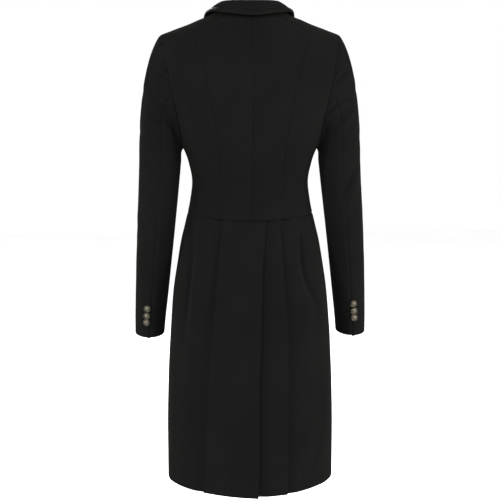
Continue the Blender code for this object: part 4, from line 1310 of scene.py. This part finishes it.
def ring_of_height(height):
    """Place along the sleeve's rings of a height."""
    heights = [-ring[0] for ring in SLEEVE_RINGS]
    return float(np.interp(-height, heights, range(len(heights))))


# -------- collar
collar_curve = Curve(COLLAR)


def turned(vector):
    """The direction a quarter turn to the left of this one: the collar's showing side."""
    return np.stack([-vector[..., 1], vector[..., 0]], axis=-1)


def collar_section(station):
    """Line of the collar in the upright plane of one station, from neck to edge."""
    degrees, neck_height, fold_radius, fold_height, edge_radius, rise = collar_curve.at(abs(station))
    angle = math.radians(degrees) * (1 if station >= 0 else -1)
    neck = np.array([ring_radius(angle, neck_height) - CLOTH, neck_height - STAND_REACH])
    edge = np.array([edge_radius, body_height(angle, edge_radius) + rise])
    crown = np.array([fold_radius + FOLD_RADIUS, fold_height - FOLD_RADIUS])
    stand, fall = unit(crown - neck), unit(edge - crown)
    stand_end = crown + turned(stand) * FOLD_RADIUS
    fall_start = crown + turned(fall) * FOLD_RADIUS
    first_turn = math.atan2(turned(stand)[1], turned(stand)[0]) % (2 * math.pi)
    last_turn = math.atan2(turned(fall)[1], turned(fall)[0])
    up = even(STAND_STEPS)[:-1, None]
    over = np.linspace(first_turn, last_turn, FOLD_STEPS + 1)
    down = even(FALL_STEPS)[1:, None]
    crest = crown + np.stack([np.cos(over), np.sin(over)], axis=-1) * FOLD_RADIUS
    bow = turned(fall) * FALL_BOW * np.sin(np.pi * down)
    line = np.concatenate([neck + (stand_end - neck) * up, crest,
                           fall_start + (edge - fall_start) * down + bow])
    return angle, line


def in_plane(angle, line):
    return np.stack([line[:, 0] * math.sin(angle), line[:, 0] * math.cos(angle), line[:, 1]], axis=-1)


def collar_lines():
    """Angle, line and outward direction of each of the collar's stations, right to left."""
    last = len(COLLAR) - 1
    stations = np.linspace(-last, last, 2 * last * STEPS + 1)
    sections = []
    for station in stations:
        angle, line = collar_section(station)
        sections.append((angle, line, turned(unit(np.gradient(line, axis=0)))))
    return sections


def make_collar(node):
    sections = collar_lines()
    points = np.stack([in_plane(angle, line) for angle, line, showing in sections])
    outward = np.stack([in_plane(angle, showing) for angle, line, showing in sections])
    reach = lengths(points, 1)
    stand_seam = STAND_SEAM_DEPTH * bump(reach - reach[:, -1:] * STAND_SEAM_SHARE, STAND_SEAM_WIDTH)
    points = points - outward * stand_seam[..., None]
    make_cloth(node, points, outward)


def make_binding(node):
    """The satin band that wraps the collar's edge, a little fuller along its middle."""
    sizes = bpy.context.scene.frock_sizes
    turn = np.linspace(-math.pi / 2, math.pi / 2, BINDING_PLACES)[1:-1]
    leg = np.linspace(0, 1, BINDING_PLACES)
    half = CLOTH / 2 + BINDING_GAP + BINDING_CLOTH
    rows, outward = [], []
    for angle, line, showing in collar_lines():
        up = showing[-1]
        edge = line[-1] - up * (CLOTH / 2)
        back = unit(line[-2] - line[-1])
        full = sizes.binding_fullness * np.sin(np.pi * leg) ** BINDING_BOW
        far = BINDING_WIDTH * leg
        over = edge + back * far[::-1, None] + up * (half + full[::-1])[:, None]
        tip = edge - half * (np.outer(np.cos(turn[::-1]), back) - np.outer(np.sin(turn[::-1]), up))
        below = edge + back * far[:, None] - up * half
        rows.append(in_plane(angle, np.concatenate([over, tip, below])))
        flat = np.tile(up, (BINDING_PLACES, 1))
        away = np.concatenate([flat, unit(tip - edge), -flat])
        outward.append(in_plane(angle, away))
    make_shell(f"{node}_satin", node, np.stack(rows), np.stack(outward), satin_paint(),
               BINDING_CLOTH, BINDING_CLOTH * BINDING_SOFTNESS)


# -------- buttons
def turned_mesh(bm, profile, segments):
    """Turns a profile of (radius, height) points about the upright line through 0."""
    points = [bm.verts.new((radius, 0.0, height)) for radius, height in profile]
    edges = [bm.edges.new(pair) for pair in zip(points, points[1:])]
    bmesh.ops.spin(bm, geom=points + edges, cent=(0, 0, 0), axis=(0, 0, 1),
                   angle=2 * math.pi, steps=segments, use_merge=True)
    bmesh.ops.remove_doubles(bm, verts=bm.verts, dist=1e-6)
    bmesh.ops.recalc_face_normals(bm, faces=bm.faces)


def make_button(name, node, point, normal):
    """A domed metal button with a rim, a groove and a ring of small beads."""
    sizes = bpy.context.scene.frock_sizes
    bm = bmesh.new()
    profile = [(BUTTON_RADIUS * share, height) for share, height in BUTTON_FACE]
    turned_mesh(bm, profile, BUTTON_SEGMENTS)
    for count in range(sizes.button_beads):
        turn = 2 * math.pi * count / sizes.button_beads
        place = Vector((math.cos(turn), math.sin(turn), 0)) * (BUTTON_RADIUS * BEAD_RING)
        place.z = BEAD_HEIGHT
        bmesh.ops.create_uvsphere(bm, u_segments=8, v_segments=5, radius=BEAD_RADIUS,
                                  matrix=Matrix.Translation(place))
    bmesh.ops.scale(bm, vec=(1, 1, sizes.button_dome), verts=bm.verts)
    standing = Vector(normal).to_track_quat("Z", "Y").to_matrix().to_4x4()
    placed = Matrix.Translation(Vector(point + normal * BUTTON_CLEARANCE)) @ standing
    radial = bm.verts.layers.float_color.new("relief")
    for vert in bm.verts:
        away = math.hypot(vert.co.x, vert.co.y) / BUTTON_RADIUS
        vert[radial] = (away, vert.co.z / BUTTON_RADIUS, 0.0, 1.0)
    bmesh.ops.transform(bm, matrix=placed, verts=bm.verts)
    mesh = mesh_of(name, bm)
    mesh.shade_smooth()
    mesh.set_sharp_from_angle(angle=math.radians(BUTTON_SHARP_ANGLE))
    piece = link(name, mesh, metal_paint())
    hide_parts(node)


def cuff_button_places(side):
    """Point and normal on the sleeve of each cuff button of one side."""
    turn, step = math.radians(CUFF_BUTTON_TURN[side]), 0.01
    places = []
    for height in CUFF_BUTTON_HEIGHTS[side]:
        ring = ring_of_height(height)
        point = sleeve_ring_point(turn, ring)
        around = sleeve_ring_point(turn + step, ring) - sleeve_ring_point(turn - step, ring)
        down = sleeve_ring_point(turn, ring + step) - sleeve_ring_point(turn, ring - step)
        normal = unit(np.cross(around, down))
        normal = normal if normal[1] > 0 else -normal
        if side == RIGHT:
            point[0] += right_swing(point[2])
        mirror = np.array([side, 1, 1])
        places.append((point * mirror, normal * mirror))
    return places


# -------- stitches
def add_stitch(bm, point, forward, outward, length, width):
    """One stitch: a slim rounded lozenge that lies along the seam."""
    across = Vector(np.cross(outward, forward))
    frame_of = Matrix((Vector(forward) * length, across * width, Vector(outward) * width)).transposed()
    bmesh.ops.create_uvsphere(bm, u_segments=6, v_segments=4, radius=0.5,
                              matrix=Matrix.Translation(Vector(point)) @ frame_of.to_4x4())


def place_along(distance, reach, line):
    """The place this far along a line of points."""
    return np.array([np.interp(distance, reach, line[:, k]) for k in range(3)])


def stitch_line(bm, points, outward):
    """Stitches along a line of points on the cloth, at an even spacing."""
    sizes = bpy.context.scene.frock_sizes
    reach = lengths(points, 0)
    count = int(reach[-1] / sizes.stitch_spacing)
    for place in (np.arange(count) + 0.5) * sizes.stitch_spacing:
        at = place_along(place, reach, points)
        forward = unit(place_along(place + STITCH_AIM, reach, points) - at)
        facing = unit(place_along(place, reach, outward))
        add_stitch(bm, at, forward, facing, sizes.stitch_length, sizes.thread)


def finish_stitches(name, bm):
    mesh = mesh_of(name, bm)
    mesh.shade_smooth()
    link(name, mesh, thread_paint())


def line_below_top(node, drop):
    """Points and normals on a piece, this far below its top edge."""
    points, outward = surfaces[node]
    reach = lengths(points, 0)
    place, facing = [], []
    for j in range(points.shape[1]):
        place.append(place_along(drop, reach[:, j], points[:, j]))
        facing.append(place_along(drop, reach[:, j], outward[:, j]))
    return np.array(place), np.array(facing)


def sew_buttonhole(bm, height):
    """Close stitches round the slot of a front buttonhole, which starts behind its button."""
    sizes = bpy.context.scene.frock_sizes
    front = bpy.data.objects["front_right_cloth"]
    near, far = BUTTONHOLE
    count = int((near - far) / (sizes.thread * BUTTONHOLE_SPACING))
    places = [(near + (far - near) * k / count, side) for k in range(count + 1) for side in (-1, 1)]
    for out, side in places:
        above = height + side * BUTTONHOLE_HALF_WIDTH
        aim = body_point(angle_at(out, above, front=True), above)
        hit, point, normal, _ = front.closest_point_on_mesh(Vector(aim))
        if not hit:
            raise RuntimeError("a buttonhole stitch found no cloth")
        add_stitch(bm, point, np.array([0.0, 0.0, 1.0]), np.array(normal),
                   BUTTONHOLE_HALF_WIDTH * BUTTONHOLE_STITCH, sizes.thread)


# -------- stage
FLOOR_HEIGHT = -1.35
FLOOR_SIZE = 14.0
CAMERA_PLACE = (0.1954, 3.1940, -0.05)
CAMERA_AIM = (0.0, 0.0, -0.4946)
CAMERA_LENS = 110.77            # millimetres
CAMERA_SENSOR = 36.0
LIGHTS_AIM = (0.0, 0.0, -0.45)
# Soft lights: place, width, power and colour
LIGHTS = (
    ((-2.6, 1.9, 1.5), 0.9, 158.0, (1.0, 0.995, 0.99)),
    ((2.5, 1.9, 1.3), 0.9, 148.0, (1.0, 0.995, 0.99)),
    ((0.3, 2.3, 3.3), 0.8, 78.0, (1.0, 1.0, 1.0)),
    ((0.2, 3.3, 0.0), 1.0, 70.0, (1.0, 1.0, 1.0)),
    ((-2.9, 0.7, -0.4), 0.9, 112.0, (1.0, 0.99, 0.97)),
    ((2.9, 0.4, -0.6), 0.9, 68.0, (1.0, 0.99, 0.97)),
    ((0.9, -3.0, 1.2), 1.6, 160.0, (1.0, 1.0, 1.0)),
)


def aimed(data, place, target):
    """Adds a light or camera of the stage, turned to the target."""
    thing = bpy.data.objects.new(data.name, data)
    thing.location = place
    thing.rotation_euler = (Vector(target) - Vector(place)).to_track_quat("-Z", "Y").to_euler()
    bpy.context.scene.collection.objects.link(thing)
    return thing


def make_floor():
    bm = bmesh.new()
    bmesh.ops.create_grid(bm, x_segments=1, y_segments=1, size=FLOOR_SIZE / 2)
    bmesh.ops.translate(bm, vec=(0, 0, FLOOR_HEIGHT), verts=bm.verts)
    mesh = mesh_of("studio_floor", bm)
    mesh.materials.append(floor_paint())
    floor = bpy.data.objects.new("studio_floor", mesh)
    bpy.context.scene.collection.objects.link(floor)


def make_lights():
    world = bpy.data.worlds.new("pale studio")
    world.use_nodes = True
    background = world.node_tree.nodes["Background"]
    background.inputs["Color"].default_value = opaque(bpy.context.scene.frock_colours.surround)
    background.inputs["Strength"].default_value = 1.0
    bpy.context.scene.world = world
    bpy.context.scene.view_settings.view_transform = "Standard"
    for number, (place, width, power, color) in enumerate(LIGHTS, start=1):
        data = bpy.data.lights.new(f"soft_light_{number}", "AREA")
        data.shape = "DISK"
        data.size = width
        data.energy = power
        data.color = color
        aimed(data, place, LIGHTS_AIM)


def make_camera():
    data = bpy.data.cameras.new("photograph_view")
    data.lens = CAMERA_LENS
    data.sensor_width = CAMERA_SENSOR
    bpy.context.scene.camera = aimed(data, CAMERA_PLACE, CAMERA_AIM)


# -------- what a user would change
def size_property(name, description, default, low, high):
    return FloatProperty(name=name, description=description, default=default, min=low, max=high,
                         precision=4, unit="LENGTH")


def share_property(name, description, default, low=0.0, high=1.0):
    return FloatProperty(name=name, description=description, default=default, min=low, max=high,
                         subtype="FACTOR")


def tone_property(name, description, default):
    return FloatVectorProperty(name=name, description=description, default=default,
                               min=0.0, max=1.0, subtype="COLOR")


class FrockSizes(bpy.types.PropertyGroup):
    cloth: size_property("Cloth", "Thickness of the cloth with its lining", 0.0018, 0.0010, 0.0022)
    soft_edge: size_property("Soft edge", "Roundness of the cloth's edges", 0.0007, 0.0002, 0.0009)
    crease: share_property("Creases", "Depth of the creases, as a share of the usual depth", 1.4, 0.0, 2.0)
    seam_depth: size_property("Seam depth", "How deep the cloth sinks into a seam", 0.0013, 0.0, 0.0020)
    seam_width: size_property("Seam width", "How far from a seam the cloth sinks", 0.0025, 0.0010, 0.0060)
    twill: size_property("Twill", "Distance between the ribs of the twill", 0.0007, 0.0004, 0.0020)
    thread: size_property("Thread", "Thickness of the sewing thread", 0.0006, 0.0003, 0.0010)
    stitch_length: size_property("Stitch", "Length of a topstitch", 0.0028, 0.0015, 0.0050)
    stitch_spacing: size_property(
        "Stitch spacing", "Distance from one topstitch to the next", 0.0035, 0.0020, 0.0060)
    binding_fullness: size_property(
        "Binding fullness", "How much the satin binding bulges", 0.0005, 0.0, 0.0010)
    button_dome: share_property(
        "Button dome", "Height of the buttons, as a share of the usual height", 1.0, 0.7, 1.3)
    button_beads: IntProperty(
        name="Button beads", description="Small beads round each button", default=22, min=8, max=32)


class FrockColours(bpy.types.PropertyGroup):
    cloth_dark: tone_property("Cloth, dark", "Darkest tone of the cloth", (0.0020, 0.0020, 0.0020))
    cloth_light: tone_property("Cloth, light", "Lightest tone of the cloth", (0.0042, 0.0042, 0.0041))
    bloom: tone_property("Bloom", "Tint of the soft light on the nap", (1.0, 0.93, 0.84))
    cloth_gloss: share_property("Cloth gloss", "Strength of the cloth's reflection", 0.0)
    cloth_sheen: share_property("Cloth sheen", "Strength of the cloth's nap", 0.007)
    satin: tone_property("Satin", "Satin binding", (0.0018, 0.0018, 0.0017))
    satin_light: tone_property("Satin, light", "Lighter tone of the satin", (0.0029, 0.0028, 0.0026))
    satin_gloss: share_property("Satin gloss", "Strength of the binding's reflection", 0.012)
    thread: tone_property("Thread", "Sewing thread", (0.0037, 0.0036, 0.0035))
    metal: tone_property("Metal", "Worn metal of the buttons", (0.078, 0.073, 0.060))
    metal_warm: tone_property("Metal, warm", "Bronze tone of the buttons", (0.050, 0.041, 0.025))
    recess: tone_property("Recess", "Dark patina in the buttons' groove", (0.008, 0.007, 0.006))
    floor: tone_property("Floor", "Studio floor", (0.84, 0.84, 0.84))
    surround: tone_property("Surround", "Light of the studio round the jacket", (1.0, 1.0, 1.0))


# -------- operators
class FROCK_OT_back(bpy.types.Operator):
    """Make the centre back and side back panels of the bodice"""
    bl_idname = "frock.back"
    bl_label = "Back panels"

    def execute(self, context):
        for side, word in SIDES:
            make_back(side, f"back_{word}")
            make_side_back(side, f"side_back_{word}")
        return {"FINISHED"}


class FROCK_OT_fronts(bpy.types.Operator):
    """Make the two fronts with their cutaway skirts, and the lapels turned back on them"""
    bl_idname = "frock.fronts"
    bl_label = "Fronts and lapels"

    def execute(self, context):
        make_front(LEFT, "front_left", front_left_form)
        make_front(RIGHT, "front_right", skirt_form)
        make_lapel(LEFT, "lapel_left", front_left_form)
        make_lapel(RIGHT, "lapel_right", skirt_form)
        return {"FINISHED"}


class FROCK_OT_skirt(bpy.types.Operator):
    """Make the four back skirt panels with their pleat edges and the centre vent"""
    bl_idname = "frock.skirt"
    bl_label = "Back skirt"

    def execute(self, context):
        make_skirt_panel("skirt_centre_left", skirt_edge(PLEAT_LEFT), skirt_edge(VENT),
                         CENTRE_LEFT_COLUMNS, centre_left_form, ("top",), VENT_HEM_STEP)
        make_skirt_panel("skirt_centre_right", skirt_edge(VENT, UNDERLAP), skirt_edge(PLEAT_RIGHT),
                         CENTRE_RIGHT_COLUMNS, centre_right_form, ("top",))
        make_skirt_panel("skirt_side_left", skirt_edge(PLEAT_LEFT, -UNDERLAP), skirt_side_edge(LEFT),
                         SIDE_COLUMNS, lap(PLEAT_LEFT, LEFT), ("top",))
        make_skirt_panel("skirt_side_right", skirt_edge(PLEAT_RIGHT, UNDERLAP),
                         skirt_side_edge(RIGHT), SIDE_COLUMNS, lap(PLEAT_RIGHT, RIGHT), ("top",))
        return {"FINISHED"}


class FROCK_OT_sleeves(bpy.types.Operator):
    """Make the upper and under sleeves"""
    bl_idname = "frock.sleeves"
    bl_label = "Sleeves"

    def execute(self, context):
        for side, word in SIDES:
            make_sleeve(side, f"sleeve_upper_{word}", f"sleeve_under_{word}")
        return {"FINISHED"}


class FROCK_OT_collar(bpy.types.Operator):
    """Make the turned-down collar and the satin binding along its edge"""
    bl_idname = "frock.collar"
    bl_label = "Collar and binding"

    def execute(self, context):
        make_collar("collar")
        make_binding("collar_binding")
        return {"FINISHED"}


class FROCK_OT_buttons(bpy.types.Operator):
    """Make the six cuff buttons and the three front buttons"""
    bl_idname = "frock.buttons"
    bl_label = "Buttons"

    def execute(self, context):
        for side, word in SIDES:
            for count, (point, normal) in enumerate(cuff_button_places(side), start=1):
                node = f"cuff_button_{word}_{count}"
                make_button(f"{node}_metal", node, point, normal)
        for count, height in enumerate(FRONT_BUTTON_HEIGHTS, start=1):
            node = f"front_button_{count}"
            make_button(f"{node}_metal", node, body_point(math.pi, height),
                        body_normal(math.pi, height))
        return {"FINISHED"}


class FROCK_OT_stitches(bpy.types.Operator):
    """Sew the line of stitches below the waist seam and the front buttonholes"""
    bl_idname = "frock.stitches"
    bl_label = "Stitches and buttonholes"

    def execute(self, context):
        waist = bmesh.new()
        for node in SKIRT_PANELS:
            stitch_line(waist, *line_below_top(node, WAIST_STITCH_DROP))
        finish_stitches("waist_stitches", waist)
        holes = bmesh.new()
        for height in FRONT_BUTTON_HEIGHTS:
            sew_buttonhole(holes, height)
        finish_stitches("buttonholes", holes)
        return {"FINISHED"}


class FROCK_OT_stage(bpy.types.Operator):
    """Set up the pale floor, the soft studio light and the camera"""
    bl_idname = "frock.stage"
    bl_label = "Floor, light and camera"

    def execute(self, context):
        make_floor()
        make_lights()
        make_camera()
        return {"FINISHED"}


class FROCK_PT_panel(bpy.types.Panel):
    """Sizes, colours and pieces of the dressage frock"""
    bl_idname = "FROCK_PT_panel"
    bl_label = "Dressage frock"
    bl_space_type = "VIEW_3D"
    bl_region_type = "UI"
    bl_category = "Frock"

    def draw(self, context):
        layout = self.layout
        for group in (context.scene.frock_sizes, context.scene.frock_colours):
            column = layout.column(align=True)
            for name in group.__annotations__:
                column.prop(group, name)
        column = layout.column(align=True)
        for operator in OPERATORS:
            column.operator(operator.bl_idname)


OPERATORS = (FROCK_OT_back, FROCK_OT_fronts, FROCK_OT_skirt, FROCK_OT_sleeves, FROCK_OT_collar,
             FROCK_OT_buttons, FROCK_OT_stitches, FROCK_OT_stage)
CLASSES = (FrockSizes, FrockColours, *OPERATORS, FROCK_PT_panel)


def register():
    for cls in CLASSES:
        bpy.utils.register_class(cls)
    bpy.types.Scene.frock_sizes = PointerProperty(type=FrockSizes)
    bpy.types.Scene.frock_colours = PointerProperty(type=FrockColours)


def unregister():
    del bpy.types.Scene.frock_colours
    del bpy.types.Scene.frock_sizes
    for cls in reversed(CLASSES):
        bpy.utils.unregister_class(cls)


def main():
    register()
    bpy.ops.frock.back()
    bpy.ops.frock.fronts()
    bpy.ops.frock.skirt()
    bpy.ops.frock.sleeves()
    bpy.ops.frock.collar()
    bpy.ops.frock.buttons()
    bpy.ops.frock.stitches()
    bpy.ops.frock.stage()


if __name__ == "__main__":
    main()
